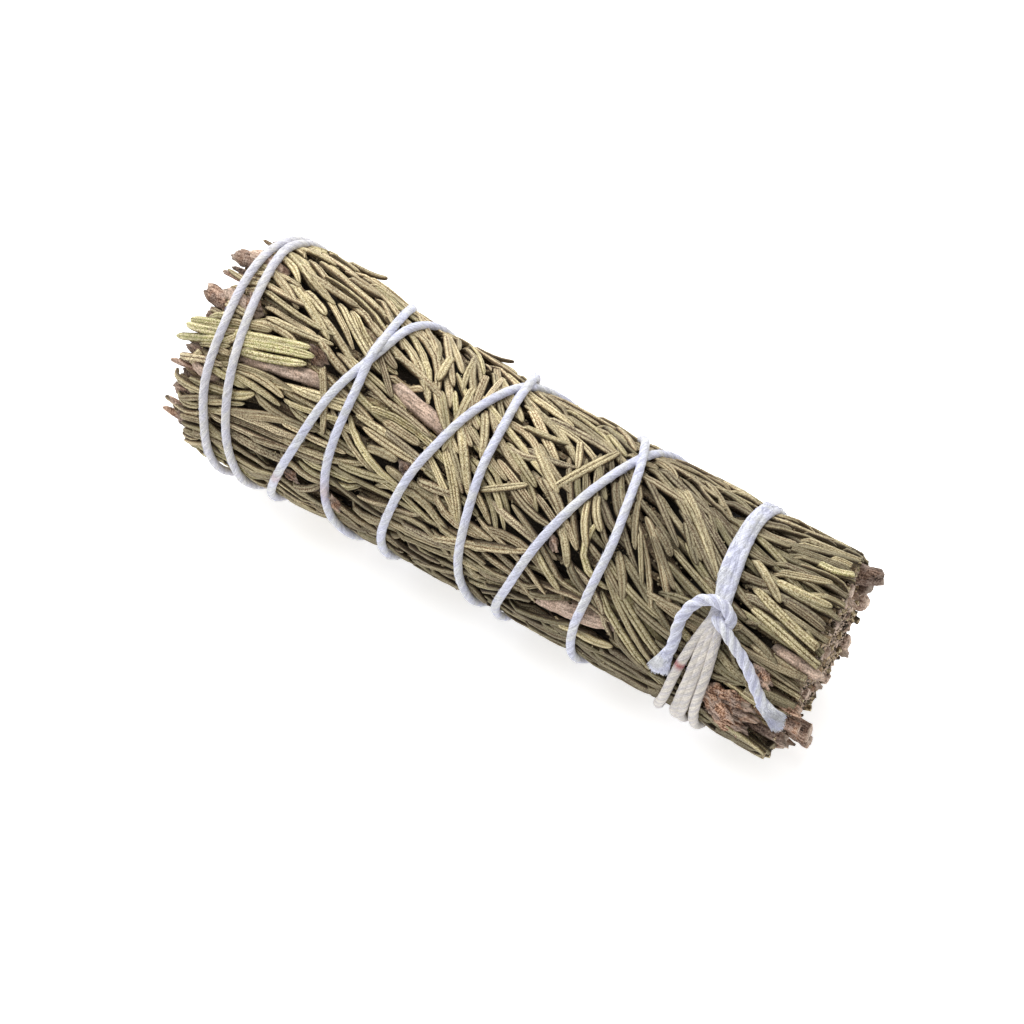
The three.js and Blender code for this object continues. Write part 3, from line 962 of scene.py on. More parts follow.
@dataclass
class Pile:
    """How high the needles lie already, on a grid unrolled round the bundle."""

    reach: float = 52.0
    step: float = 0.25               # mm along the bundle
    columns: int = 400               # round it
    samples: int = 41
    stiffness: float = 0.62          # share of the highest contact that a needle bends over
    ceiling_open: float = 0.98       # how high the foliage may stand between the strands
    ceiling_bound: float = 0.45      # and under one
    bound_reach: float = 1.7

    def __post_init__(self) -> None:
        """Starts with the bare cores, and works out how the string presses the foliage."""
        rows = int(2 * self.reach / self.step) + 1
        self.height = np.full((rows, self.columns), -FORM.core_depth)
        self.row_x = np.arange(rows) * self.step - self.reach
        self.column_angle = np.radians(np.arange(self.columns) * 360.0 / self.columns)
        distance = ROUTE.distance_to_strand(self.row_x[:, None], self.column_angle[None])
        near = np.exp(-(distance / self.bound_reach) ** 2)
        self.ceiling = self.ceiling_open + (self.ceiling_bound - self.ceiling_open) * near
        share = shares(self.samples)
        powers = np.vander(share, 3)
        self.bending = powers @ np.linalg.pinv(powers)
        self.across = np.linspace(-0.92, 0.92, 7)
        self.arch = np.sqrt(1 - self.across ** 2)

    def cells(self, x: Array, angle: Array) -> tuple[Array, Array]:
        """Finds the cell under each point.

        Args:
            x: Place along the bundle.
            angle: Place round it.

        Returns:
            Row and column.
        """
        row = np.rint((x + self.reach) / self.step).astype(int)
        column = np.rint(np.degrees(angle) * self.columns / 360.0).astype(int)
        return np.clip(row, 0, len(self.height) - 1), column % self.columns

    def strip(self, x: Array, angle: Array, across: Array) -> tuple[Array, Array]:
        """Finds the cells under a needle.

        Args:
            x: Its line along the bundle.
            angle: Its line round it.
            across: Places across it in millimetres.

        Returns:
            Rows and columns.
        """
        radius = FORM.radius(x)
        along_x = np.gradient(x)
        along_arc = np.gradient(angle) * radius
        length = np.hypot(along_x, along_arc) + 1e-9
        side_x = x[:, None] - across * (along_arc / length)[:, None]
        side_angle = angle[:, None] + across * (along_x / length / radius)[:, None]
        return self.cells(side_x, side_angle)

    def rest(self, x: Array, angle: Array, half_width: float, half_depth: float,
             room: float = 0.0) -> tuple[Array, float]:
        """Lets a springy needle down on the pile.

        Args:
            x: Its line along the bundle.
            angle: Its line round the bundle.
            half_width: Half its width.
            half_depth: Half its thickness.
            room: How far above the usual ceiling it may stand.

        Returns:
            The height of its middle along the line, and how far on average it had to be
            pressed into the pile to stay under the ceiling.
        """
        cells = self.strip(x, angle, self.across * half_width)
        need = (self.height[cells] + half_depth * self.arch).max(axis=1)
        curve = self.bending @ need
        curve += self.stiffness * (need - curve).max()
        limit = self.ceiling[self.cells(x, angle)] + room - half_depth
        pressed = float(np.maximum(curve - limit, 0).mean())
        curve = np.minimum(curve, limit)
        smooth = np.convolve(np.pad(curve, 4, mode="edge"), np.ones(9) / 9, mode="valid")
        return smooth, pressed

    def cover(self, x: Array, angle: Array, height: Array, half_width: float,
              half_depth: float) -> None:
        """Raises the pile by a needle or a twig that now lies on it.

        Args:
            x: Its line along the bundle.
            angle: Its line round it.
            height: Height of its middle.
            half_width: Half of its width.
            half_depth: Half of its depth.
        """
        fine = shares(2 * self.samples)
        share = shares(len(x))
        x, angle, height = (np.interp(fine, share, line) for line in (x, angle, height))
        across = np.linspace(-0.97, 0.97, 9)
        cells = self.strip(x, angle, across * half_width)
        top = height[:, None] + half_depth * np.sqrt(1 - across ** 2)
        np.maximum.at(self.height, cells, top)

    def shown_share(self, needle: Needle) -> float:
        """Looks at how much of a needle can be seen from outside.

        Args:
            needle: One that lies in the pile.

        Returns:
            The share of it.
        """
        cells = self.strip(needle.x, needle.angle, self.across * needle.half_width)
        top = needle.height[:, None] + needle.half_depth * self.arch
        return float((top > self.height[cells] - 0.1).mean())

    def hollows(self, deeper: float, first_x: float, last_x: float) -> tuple[Array, Array, Array]:
        """Finds the places between two ends that lie deep.

        Args:
            deeper: The height under which they count.
            first_x: One end.
            last_x: The other.

        Returns:
            x, angle and height of each.
        """
        rows = (self.row_x > first_x) & (self.row_x < last_x)
        row, column = np.nonzero((self.height < deeper) & rows[:, None])
        return self.row_x[row], self.column_angle[column], self.height[row, column]


@dataclass(frozen=True)
class LieOfNeedles:
    """Which way the needles lean, in degrees from the bundle's length towards the front."""

    # x, angle round the bundle and lean, where a lock of needles shows a lie of its own
    locks: Rows = (
        (-44, 28, -15), (-44, 60, -18), (-44, 84, -10), (-37, -17, 21), (-32, -18, 15),
        (-37, 6, 28), (-38, 16, 2), (-34, -2, 14), (-33, 6, 18), (-35, 26, -10),
        (-33, 43, -19), (-32, 60, -14), (-34, 72, -16), (-34, 84, 14), (-24, 40, 40),
        (-20, 0, 16), (-18, 23, 14), (-16, 45, -25), (-18, 56, -22), (-20, 80, -5),
        (-15, -14, 70), (-11, -3, 60), (-9, 17, 51), (-6, 28, 50), (-4, 46, 64),
        (-7, 62, -16), (-4, 84, -2), (0, -15, 8), (1, 6, 26), (1, 27, -24), (2, 44, 22),
        (0, 64, -21), (3, 52, -23), (4, 10, 35), (8, -16, 14), (11, 41, 50), (12, 16, 56),
        (13, 28, 60), (12, 70, -8), (18, -12, 28), (24, 2, 40), (22, 20, 48), (24, 45, 30),
        (26, 71, 16), (28, 6, 50), (34, 36, -6), (34, 18, 56), (36, -15, -28),
        (38, -7, -50), (41, -2, -22), (41, 8, -2), (40, 20, 16), (42, 30, 12), (38, 40, 26),
        (43, 41, -17), (38, 68, 11), (24, 90, 4), (-10, 100, 3), (-30, 96, 6), (40, 95, 4),
    )
    reach: float = 4.6               # mm over which a lock keeps its lie

    def lean(self, x: float, angle: float) -> float:
        """The usual lean of the needles at a place.

        Args:
            x: Place along the bundle.
            angle: Place round it in degrees.

        Returns:
            The lean in degrees.
        """
        wave = (15 * math.sin(x / 8.3 + angle / 21.0) + 12 * math.sin(x / 13.7 - angle / 33.0)
                + 9 * math.sin(x / 4.9 + angle / 11.0 + 1.3))
        locks = np.array(self.locks)
        arc = np.radians((locks[:, 1] - angle + 180) % 360 - 180) * FORM.waist_radius
        weight = np.exp(-((locks[:, 0] - x) ** 2 + arc ** 2) / (2 * self.reach ** 2))
        return float((weight @ locks[:, 2] + 0.2 * wave) / (weight.sum() + 0.2))


@dataclass(frozen=True)
class BareTwig:
    """A twig that shows at the surface between the needles."""

    line: tuple[float, float, float, float]  # x and angle of one end, then of the other
    radius: float
    rise: float = 0.0                # how far its back stands above the foliage's usual top
    top: float = 0.72
    dive: float = 1.1                # how deep its ends lie under the needles

    def path(self, samples: int) -> tuple[Array, Array, Array]:
        """Runs along its middle.

        Args:
            samples: How many places.

        Returns:
            x, angle and height of each.
        """
        share = shares(samples)
        height = self.top + self.rise - self.radius - self.dive * np.abs(2 * share - 1) ** 3
        return *surface_line(self.line, samples), height


BARE_TWIGS = tuple(BareTwig(*row) for row in (
    ((-39.5, 38, -27, 27), 1.2, 0.05), ((-20.5, 9, -10, 17), 1.3),
    ((8, 82, 22, 70), 1.45, 0.05), ((-47.8, -17, -41.5, -13), 1.1, 0.1),
    ((-46.5, 12, -40, 15), 1, -0.1), ((-45.5, 52, -41.5, 55), 0.7),
    ((41.5, 36, 47.9, 39), 0.8, -0.15), ((20.5, 132, 33, 127), 1.1),
    ((-30, 150, -17.5, 158), 1), ((-8, 205, 6, 199), 1.2),
    ((12, 262, 24.5, 268), 1), ((-36, 248, -24, 240), 1.1),
    ((-5, 298, 7, 304), 0.9), ((34, 228, 44.5, 222), 1),
))

# Chips of bark and withered buds: x and angle of each end, half width, height above the
# outline, tone.
BARK_CHIPS = (
    (35.2, 74, 41.6, 71, 1.35, 1.05, 0.55), (35, 81, 42.3, 79, 1.6, 0.9, 0.4),
    (36.4, 90, 42, 90, 1.45, 0.95, 0.45), (36.6, 77, 40.4, 83, 1.05, 1.45, 0.8),
    (40.2, 50, 43, 55, 0.95, 0.95, 0.75), (-31.2, 17, -28.4, 20, 0.9, 1.15, 0),
    (-13.6, 44, -11.4, 48, 0.75, 1, 0.1), (9, 39, 10.6, 46, 0.55, 0.9, 0.4),
    (-29.2, 83, -27, 86, 0.8, 0.9, 0.3), (-42.4, 10, -40.2, 14, 0.8, 0.7, 0.35),
    (-20, 200, -17, 205, 0.8, 0.8, 0.4), (22, 300, 24.4, 292, 0.7, 0.9, 0.3),
    (-6, 250, -3.4, 252, 0.7, 0.9, 0.5), (-21, 79.5, -19.7, 86, 0.75, 2, 0.35),
)

# Single needles that catch the eye: x and angle of the stalk, x and angle of the tip, hue, tone,
# width in millimetres, and how far the tip stands off.
LOOSE_NEEDLES = (
    (-41, 33, -30.2, 20, 0.98, 1.1, 1.6, 0), (-40.2, 36, -30.6, 25, 0.92, 0.95, 1.45, 0),
    (-42.5, 30, -31.2, 17, 0.94, 1, 1.5, 0), (-41.2, 33, -50, 45, 1, 0.8, 1.3, 0),
    (-42, 27, -49, 33, 1, 0.85, 1.4, 0), (-41.8, 30, -48.8, 36, 0.94, 0.9, 1.4, 0),
    (-41, 46, -48.4, 54, 0.1, 0.95, 1.2, 0), (-16.2, -25, -14.9, -4, 0.62, 0.8, 1.5, 0.1),
    (-10.9, -14, -9, 28, 0.66, 0.72, 1.3, 0.1), (-9.9, 8, -3.1, 42, 0.62, 0.85, 1.45, 0.1),
    (-9.3, 26, -3, 58, 0.64, 0.8, 1.45, 0.1), (-7.6, -3, -4, 22, 0.58, 0.72, 1.35, 0),
    (-2.2, 37, 3.4, 23, 0.6, 0.66, 1.2, 0), (1.2, 2, 7.4, 19, 0.56, 0.75, 1.35, 0),
    (6, 22, 10.6, -19, 0.6, 0.85, 1.5, 0.2), (5.5, -14, 7.9, 3, 0.5, 0.8, 1.2, 0.1),
    (11.1, 13, 14.3, 36, 0.62, 0.8, 1.4, 0.1), (11.8, 9, 14.9, 26, 0.6, 0.72, 1.3, 0),
    (9.7, 33, 13, 50, 0.55, 0.62, 1.25, 0), (-7.8, 76, 7.5, 53, 0.35, 0.72, 1.3, 0),
    (19.2, -18, 31.4, 20, 0.62, 0.46, 1.3, 0), (19.6, -22, 30.4, 16, 0.55, 0.4, 1.25, 0),
    (37, 6, 45.2, 4, 0.76, 0.6, 1.45, 0), (36.6, 24, 47.4, 34, 0.8, 0.62, 1.4, 0),
    (35.6, 14, 46.4, 26, 0.74, 0.58, 1.45, 0), (33.3, 0, 39.5, 15, 0.6, 0.5, 1.4, 0),
    (36.8, 2, 43.6, -8, 0.6, 0.52, 1.4, 0), (40.2, -17, 44.9, -21, 0.9, 0.85, 1.4, 0),
    (32.3, 36, 36.9, 34, 0.55, 0.72, 1.3, 0), (-17.6, -58, -11.4, -60, 0.3, 0.3, 1, 1),
    (-38.6, -54, -32.6, -58, 0.4, 0.45, 1.2, 1.1), (38, 92, 45.4, 94, 0.8, 0.5, 1.1, 0.7),
    (-28.9, 20, -24.6, 51, 0.5, 0.62, 1.25, 0), (13, 86, 22, 80, 0.7, 0.72, 1.3, 0),
)


@dataclass
class NeedleCover:
    """All the needles that cover the bundle, laid one after another on the pile."""

    seed: int = 20
    base_tries: int = 2400
    lock_tries: int = 5600
    fill_rounds: int = 34
    fill_tries: int = 40
    loose_tries: int = 45
    longest: float = 16.5
    shortest: float = 9.0
    most_pressed: float = 0.42       # a needle that would be crushed more isn't laid
    least_shown: float = 0.03        # a needle that shows less is left out
    too_high: float = 4.0            # where a twig keeps its place clear of needles
    twig_clears: float = 0.4         # that place, as a share of the twig's width
    chip_clears: float = 0.35        # and of a chip's
    dives: int = 9                   # samples at each end of a twig that lie under needles
    loose_width: float = 0.92        # how a loose needle's width and tone are scaled
    loose_tone: float = 0.82
    lean_spread: float = 9.0         # degrees, from lock to lock
    base_lean: float = 0.6           # share of the usual lean that those underneath have
    base_hues: tuple[float, float] = (0.0, 0.45)
    # dark tones of the needles underneath: painted shade under the rest
    base_tones_shaded: tuple[float, float] = (0.12, 0.45)
    base_room: float = -0.95         # how far they stay under the usual ceiling
    most_in_lock: int = 7
    pitches: tuple[float, float] = (0.98, 1.14)
    one_way: float = 0.6             # share of the locks that point to the same end
    fan: float = 1.8                 # degrees from needle to needle
    fan_spread: float = 3.0
    slip_spread: float = 1.4         # how unevenly the needles of a lock start
    bow_spread: float = 0.85
    own_lengths: tuple[float, float] = (0.8, 1.15)
    hollow: float = -0.6             # a place under this height is still open
    usual_hue: float = 0.46
    hue_spread: float = 0.2          # from lock to lock
    greenest_lock: float = 0.8
    greenest: float = 0.84
    own_hue_spread: float = 0.12     # from needle to needle in a lock
    usual_tone: float = 0.65
    tone_spread: float = 0.13
    own_tone_spread: float = 0.15
    # Painted shade: how much darker the locks are painted by the knot, at the back, and low
    # towards the table
    painted_shade_by_knot: float = 0.25
    painted_shade_behind: float = 0.33
    painted_shade_low: float = 0.53         # and how much less at the tip end
    painted_shade_eased_at_tips: float = 0.22

    def __post_init__(self) -> None:
        """Prepares the pile, the lie and the seeded draw."""
        self.pile = Pile()
        self.lie = LieOfNeedles()
        self.draw = np.random.default_rng(self.seed)
        self.needles: list[Needle] = []

    def line(self, x: float, angle: float, lean: float, length: float,
             bow: float) -> tuple[Array, Array, End] | None:
        """A needle's line on the surface, from stalk to tip, cut where it passes the shears.

        Args:
            x: Its middle along the bundle.
            angle: Its middle round the bundle, in radians.
            lean: Its direction in degrees; past 90 it points to the tip end.
            length: Its length.
            bow: How far its middle stands aside of its ends.

        Returns:
            x and angle at each sample and how the far end ends, or None where nothing is left.
        """
        share = shares(self.pile.samples)
        turn = math.radians(lean)
        along = (share - 0.5) * length
        aside = bow * (4 * share * (1 - share) - 0.5)
        line_x = x + along * math.cos(turn) - aside * math.sin(turn)
        arc = along * math.sin(turn) + aside * math.cos(turn)
        line_angle = angle + arc / FORM.radius(line_x)
        shears = FORM.cut_x(line_angle) + self.draw.normal(0, 0.25)
        ragged = max(FORM.ragged_x(angle) + self.draw.normal(0, 1.0), FORM.furthest_tip)
        inside = (line_x < shears) & (line_x > ragged)
        if inside.all():
            return line_x, line_angle, End.ROUNDED
        if inside.sum() < 8:
            return None
        keep = np.flatnonzero(inside)
        at = np.linspace(keep[0], keep[-1], self.pile.samples)
        index = np.arange(self.pile.samples)
        line_x, line_angle = np.interp(at, index, line_x), np.interp(at, index, line_angle)
        by_shears = x > 0
        if (line_x[0] > line_x[-1]) is by_shears:
            line_x, line_angle = line_x[::-1].copy(), line_angle[::-1].copy()
        cut = by_shears or self.draw.random() < 0.3
        return line_x, line_angle, End.CUT if cut else End.ROUNDED

    def put(self, line: tuple[Array, Array, End], width: float, hue: float, tone: float,
            most_pressed: float, room: float = 0.0, lift: float = 0.0) -> bool:
        """Puts one needle on the pile, unless the place is full already.

        Args:
            line: x and angle at each sample, and how the far end ends.
            width: Its width.
            hue: Its colour, from browned at 0 to grey green at 1.
            tone: Its brightness, from 0 to 1.
            most_pressed: How hard it may be pressed into the pile.
            room: How far above the usual ceiling it may stand.
            lift: How far its tip stands off.

        Returns:
            Whether it was put there.
        """
        draw, half_width = self.draw, width / 2
        half_depth = half_width * draw.uniform(0.68, 0.86)
        height, pressed = self.pile.rest(line[0], line[1], half_width, half_depth, room)
        if pressed > most_pressed:
            return False
        share = shares(len(height))
        height = height - 0.7 * np.maximum(0.14 - share, 0) / 0.14 + lift * share ** 3
        face = Face.UPPER if draw.random() < 0.72 else Face.LOWER
        needle = Needle(line[0], line[1], height, half_width, half_depth, face,
                        draw.normal(0, 14), float(np.clip(hue, 0, 1)),
                        float(np.clip(tone, 0, 1)), line[2], draw.choice([0.1, 0.4, 0.9]))
        self.pile.cover(line[0], line[1], height, half_width, half_depth)
        self.needles.append(needle)
        return True

    def lay(self, x: float, angle: float, lean: float, length: float, hue: float, tone: float,
            most_pressed: float, room: float = 0.0, bow: float = 0.0) -> bool:
        """Lays one needle by its middle, lean and length, unless the place is full already.

        Args:
            x: Its middle along the bundle.
            angle: Its middle round it.
            lean: Its angle to the bundle's length, in degrees.
            length: Its length in millimetres.
            hue: Grey brown at 0, green at 1.
            tone: Dark at 0, pale at 1.
            most_pressed: How far it may be pressed in before it is left out.
            room: How far over the ceiling it may go.
            bow: How much it bends.

        Returns:
            True if it was laid.
        """
        draw = self.draw
        line = self.line(x, angle, lean, length, bow + draw.normal(0, 0.3))
        if line is None or np.ptp(line[0]) + np.ptp(line[1]) * 14 < 3:
            return False
        width = float(np.clip(draw.normal(1.18, 0.16), 0.8, 1.56))
        return self.put(line, width, hue, tone, most_pressed, room)

    def hue_at(self, x: float) -> float:
        """The usual hue of a lock: greener at the tip end and by the shears.

        Args:
            x: Place along the bundle.

        Returns:
            The hue.
        """
        green = 0.12 * math.exp(-((x + 36) / 12) ** 2) + 0.12 * math.exp(-((x - 38) / 9) ** 2)
        hue = self.draw.normal(self.usual_hue + green, self.hue_spread)
        return float(np.clip(hue, 0, self.greenest_lock))

    def tone_at(self, x: float, angle: float) -> float:
        """The usual tone of a lock, with painted shade: darker towards the table and at the back
        by the knot, where less light falls.

        Args:
            x: Place along the bundle.
            angle: Place round it.

        Returns:
            The tone.
        """
        side = math.degrees(angle) % 360.0
        low = 1 / (1 + math.exp((67 - side if side < 180 else side - 265) / 9))
        along = 1 / (1 + math.exp((8 - x) / 6))
        turned = (side - 2 + 180) % 360 - 180
        behind = along * math.exp(-(turned / 38) ** 2)
        # Painted shade low towards the table, where less light falls, eased at the tip end.
        low *= self.painted_shade_low - self.painted_shade_eased_at_tips / (1 + math.exp((x + 20) / 5))
        darker = self.painted_shade_by_knot * along
        return float(self.draw.normal(
            self.usual_tone - darker - self.painted_shade_behind * behind - low, self.tone_spread))

    def lay_twigs(self) -> None:
        """Keeps the places of the bare twigs and the chips clear, so that needles lie beside."""
        samples = self.pile.samples
        shows = slice(self.dives, -self.dives)
        for twig in BARE_TWIGS:
            x, angle, height = (line[shows] for line in twig.path(samples))
            self.pile.cover(x, angle, height + self.too_high,
                            twig.radius * self.twig_clears, twig.radius)
        for *ends, half_width, _, _ in BARK_CHIPS:
            self.pile.cover(*surface_line(ends, samples), np.full(samples, self.too_high),
                            half_width * self.chip_clears, 0.1)
        self.clear = self.pile.height > self.too_high / 2

    def lay_base(self) -> None:
        """Lays the browned needles underneath, nearly along the bundle, darkened as painted shade
        under the rest.
        """
        draw = self.draw
        for _ in range(self.base_tries):
            x, angle = draw.uniform(-48, 45), draw.uniform(0, TURN)
            length = draw.uniform(self.shortest, self.longest)
            lean = self.lie.lean(x, math.degrees(angle)) * self.base_lean
            lean += draw.normal(0, self.lean_spread)
            self.lay(x, angle, lean, length, draw.uniform(*self.base_hues),
                     draw.uniform(*self.base_tones_shaded), 0.05, room=self.base_room)

    def lay_locks(self) -> None:
        """Lays locks of needles side by side, each lock with its own lie and colour."""
        draw = self.draw
        for _ in range(self.lock_tries):
            x, angle = draw.uniform(-48, 46), draw.uniform(0, TURN)
            lean = self.lie.lean(x, math.degrees(angle)) + draw.normal(0, self.lean_spread)
            hue, tone = self.hue_at(x), self.tone_at(x, angle)
            length = draw.uniform(self.shortest, self.longest)
            turned = 0.0 if draw.random() < self.one_way else 180.0
            bow = draw.normal(0, self.bow_spread)
            count = int(draw.integers(2, self.most_in_lock + 1))
            pitch = draw.uniform(*self.pitches)
            turn = math.radians(lean)
            for i in range(count):
                aside = (i - (count - 1) / 2) * pitch
                slip = draw.normal(0, self.slip_spread)
                own_x = x + slip * math.cos(turn) - aside * math.sin(turn)
                own_arc = slip * math.sin(turn) + aside * math.cos(turn)
                own_angle = angle + own_arc / float(FORM.radius(x))
                own_lean = (lean + turned + self.fan * (i - (count - 1) / 2)
                            + draw.normal(0, self.fan_spread))
                self.lay(own_x, own_angle, own_lean, length * draw.uniform(*self.own_lengths),
                         min(hue + draw.normal(0, self.own_hue_spread), self.greenest),
                         tone + draw.normal(0, self.own_tone_spread), self.most_pressed,
                         bow=bow)

    def lay_fill(self) -> None:
        """Lays needles across the hollows that the locks have left, so that few stay open."""
        draw = self.draw
        for _ in range(self.fill_rounds):
            x, angle, _ = self.pile.hollows(self.hollow, -46.0, 44.0)
            if not len(x):
                return
            for pick in draw.integers(0, len(x), self.fill_tries):
                lean = self.lie.lean(x[pick], math.degrees(angle[pick])) + draw.normal(0, 15)
                own_x, own_angle = x[pick] + draw.normal(0, 1.2), angle[pick]
                # A little darker than the locks: painted shade in the hollows.
                self.lay(own_x, own_angle + draw.normal(0, 0.03), lean, draw.uniform(4.5, 11.5),
                         self.hue_at(own_x), self.tone_at(own_x, own_angle) - 0.08,
                         0.72, room=0.1)

    def lay_loose(self) -> None:
        """Lays single needles across the others: a few anywhere, then those that are named."""
        draw = self.draw
        for _ in range(self.loose_tries):
            x, angle = draw.uniform(-42, 42), draw.uniform(1.6, TURN - 0.9)
            self.lay(x, angle, draw.uniform(-75, 75), draw.uniform(6, 12),
                     draw.uniform(0.3, 0.75), draw.uniform(0.5, 0.85), 0.5, room=0.15)
        share = shares(self.pile.samples)
        for *ends, hue, tone, width, lift in LOOSE_NEEDLES:
            start_x, start, end_x, end = ends
            aside = draw.normal(0, 0.35) * (4 * share * (1 - share))
            length = math.hypot(end_x - start_x, math.radians(end - start) * FORM.waist_radius)
            x, angle = surface_line(ends, len(share))
            x = x + aside * math.radians(end - start) * FORM.waist_radius / length
            angle = angle - aside * (end_x - start_x) / length / FORM.waist_radius
            beyond = end_x > FORM.cut_x(math.radians(end)) - 0.8
            self.put((x, angle, End.CUT if beyond else End.ROUNDED), width * self.loose_width,
                     hue, self.loose_tone * tone, 9.0, room=0.25, lift=lift)

    def build(self) -> list[Needle]:
        """Lays everything.

        Returns:
            The needles that can be seen.
        """
        self.lay_twigs()
        for lay in (self.lay_base, self.lay_locks, self.lay_fill, self.lay_loose):
            lay()
            LOG.info("%s: %d needles", lay.__name__, len(self.needles))
        for needle in self.needles:
            needle.shown = self.pile.shown_share(needle)
        self.pile.height[self.clear] = self.pile.ceiling_open
        return [needle for needle in self.needles if needle.shown >= self.least_shown]


@dataclass
class EndNeedles:
    """The needles that fill the bundle's two ends, from its axis out to the cover."""

    pitch: float = 1.1
    first_ring: float = 0.3
    seed: int = 41

    def spots(self, draw: Draw, x: float) -> list[tuple[float, float]]:
        """Spaces needles on rings, about one needle apart.

        Args:
            draw: The random draws.
            x: Place along the bundle.

        Returns:
            Angle and distance from the axis of each.
        """
        found = []
        radius = float(FORM.radius(x))
        for distance in np.arange(self.first_ring, radius - 0.4, self.pitch):
            count = max(int(TURN * distance / self.pitch), 1)
            start = draw.uniform(0, TURN)
            found += [(start + TURN * i / count + draw.normal(0, 0.14) / max(distance, 1),
                       float(distance + draw.normal(0, 0.12))) for i in range(count)]
        return found

    def needle(self, draw: Draw, ends: tuple[float, float], angle: float,
               distance: float, end: End, tone: float) -> Needle:
        """Lays one needle along the bundle.

        Args:
            draw: The random draws.
            ends: x of both its ends.
            angle: Place round the bundle.
            distance: How far from the axis.
            end: How it ends.
            tone: Dark at 0, pale at 1.

        Returns:
            The needle.
        """
        share = shares(9)
        x = ends[0] + (ends[1] - ends[0]) * share
        splay = draw.normal(0, 0.5, 2)
        line_angle = angle + splay[0] * share ** 2 / max(distance, 2.0)
        out = distance + splay[1] * share ** 2
        under = FORM.outline(x, line_angle) + 0.35
        height = np.minimum(out, under) - FORM.outline(x, line_angle)
        half_width = draw.uniform(0.38, 0.6)
        shown = 1.0 if distance > 0.62 * FORM.waist_radius else 0.0
        return Needle(x, line_angle, height, half_width, half_width * draw.uniform(0.65, 0.95),
                      Face.UPPER, draw.uniform(0, 360), draw.uniform(0.0, 0.6), tone, end, 0.8,
                      shown)

    def build(self) -> list[Needle]:
        """Fills both ends.

        Returns:
            Their needles.
        """
        draw = np.random.default_rng(self.seed)
        needles = []
        for angle, distance in self.spots(draw, -43.0):
            furthest = float(FORM.ragged_x(angle)) + 0.4 + draw.normal(0, 1.6)
            end = End.ROUNDED if draw.random() < 0.55 else End.CUT
            needles.append(self.needle(draw, (-39.5, max(furthest, FORM.furthest_tip)), angle,
                                       distance, end, draw.uniform(0.1, 0.75)))
        for angle, distance in self.spots(draw, 44.0):
            share = distance / FORM.waist_radius
            cut = float(FORM.cut_x(angle, share)) - 0.15 + draw.normal(0, 0.3)
            cut -= 1.4 * (draw.random() < 0.13)
            # The butt end's needles are paler than the tip end's: painted light, so that the cut
            # face reads lit.
            needles.append(self.needle(draw, (41.0, cut), angle, distance, End.CUT,
                                       draw.uniform(0.6, 1.0)))
        return needles


# Least and most share of the bundle's radius at which a needle counts as a ring's own.
RING_SHARES = {"outer": (0.49, 9.0), "inner": (0.218, 0.49), "core": (-1.0, 0.218)}


def owned(cell: SprigCell, x: Array, angle: Array, share: Array) -> Array:
    """Whether places, by x, angle and share of the radius, belong to a sprig."""
    least, most = RING_SHARES[cell.ring]
    return cell.holds(x, angle) & (share >= least) & (share < most)


# ---- needles as meshes


# Each place of a needle's section is across and up as shares of the half width and half depth, how
# far the furrow draws it in, and how much painted shade darkens it: most at the sides where
# needles touch and in the furrow, less underneath. Below nought it is paler: a painted highlight
# on the ridges, and the pale groove of the lower face.
UNDERSIDE = ((-0.6, -0.7, 0, 0.2), (0, -0.9, 0.3, 0.5), (0.6, -0.7, 0, 0.2))


def section(side: Rows, middle: tuple[float, ...], under: Rows) -> Rows:
    """A needle's section, from one side of its outward face, mirrored, and its underside."""
    return (*side, middle, *((-across, *rest) for across, *rest in reversed(side)), *under)


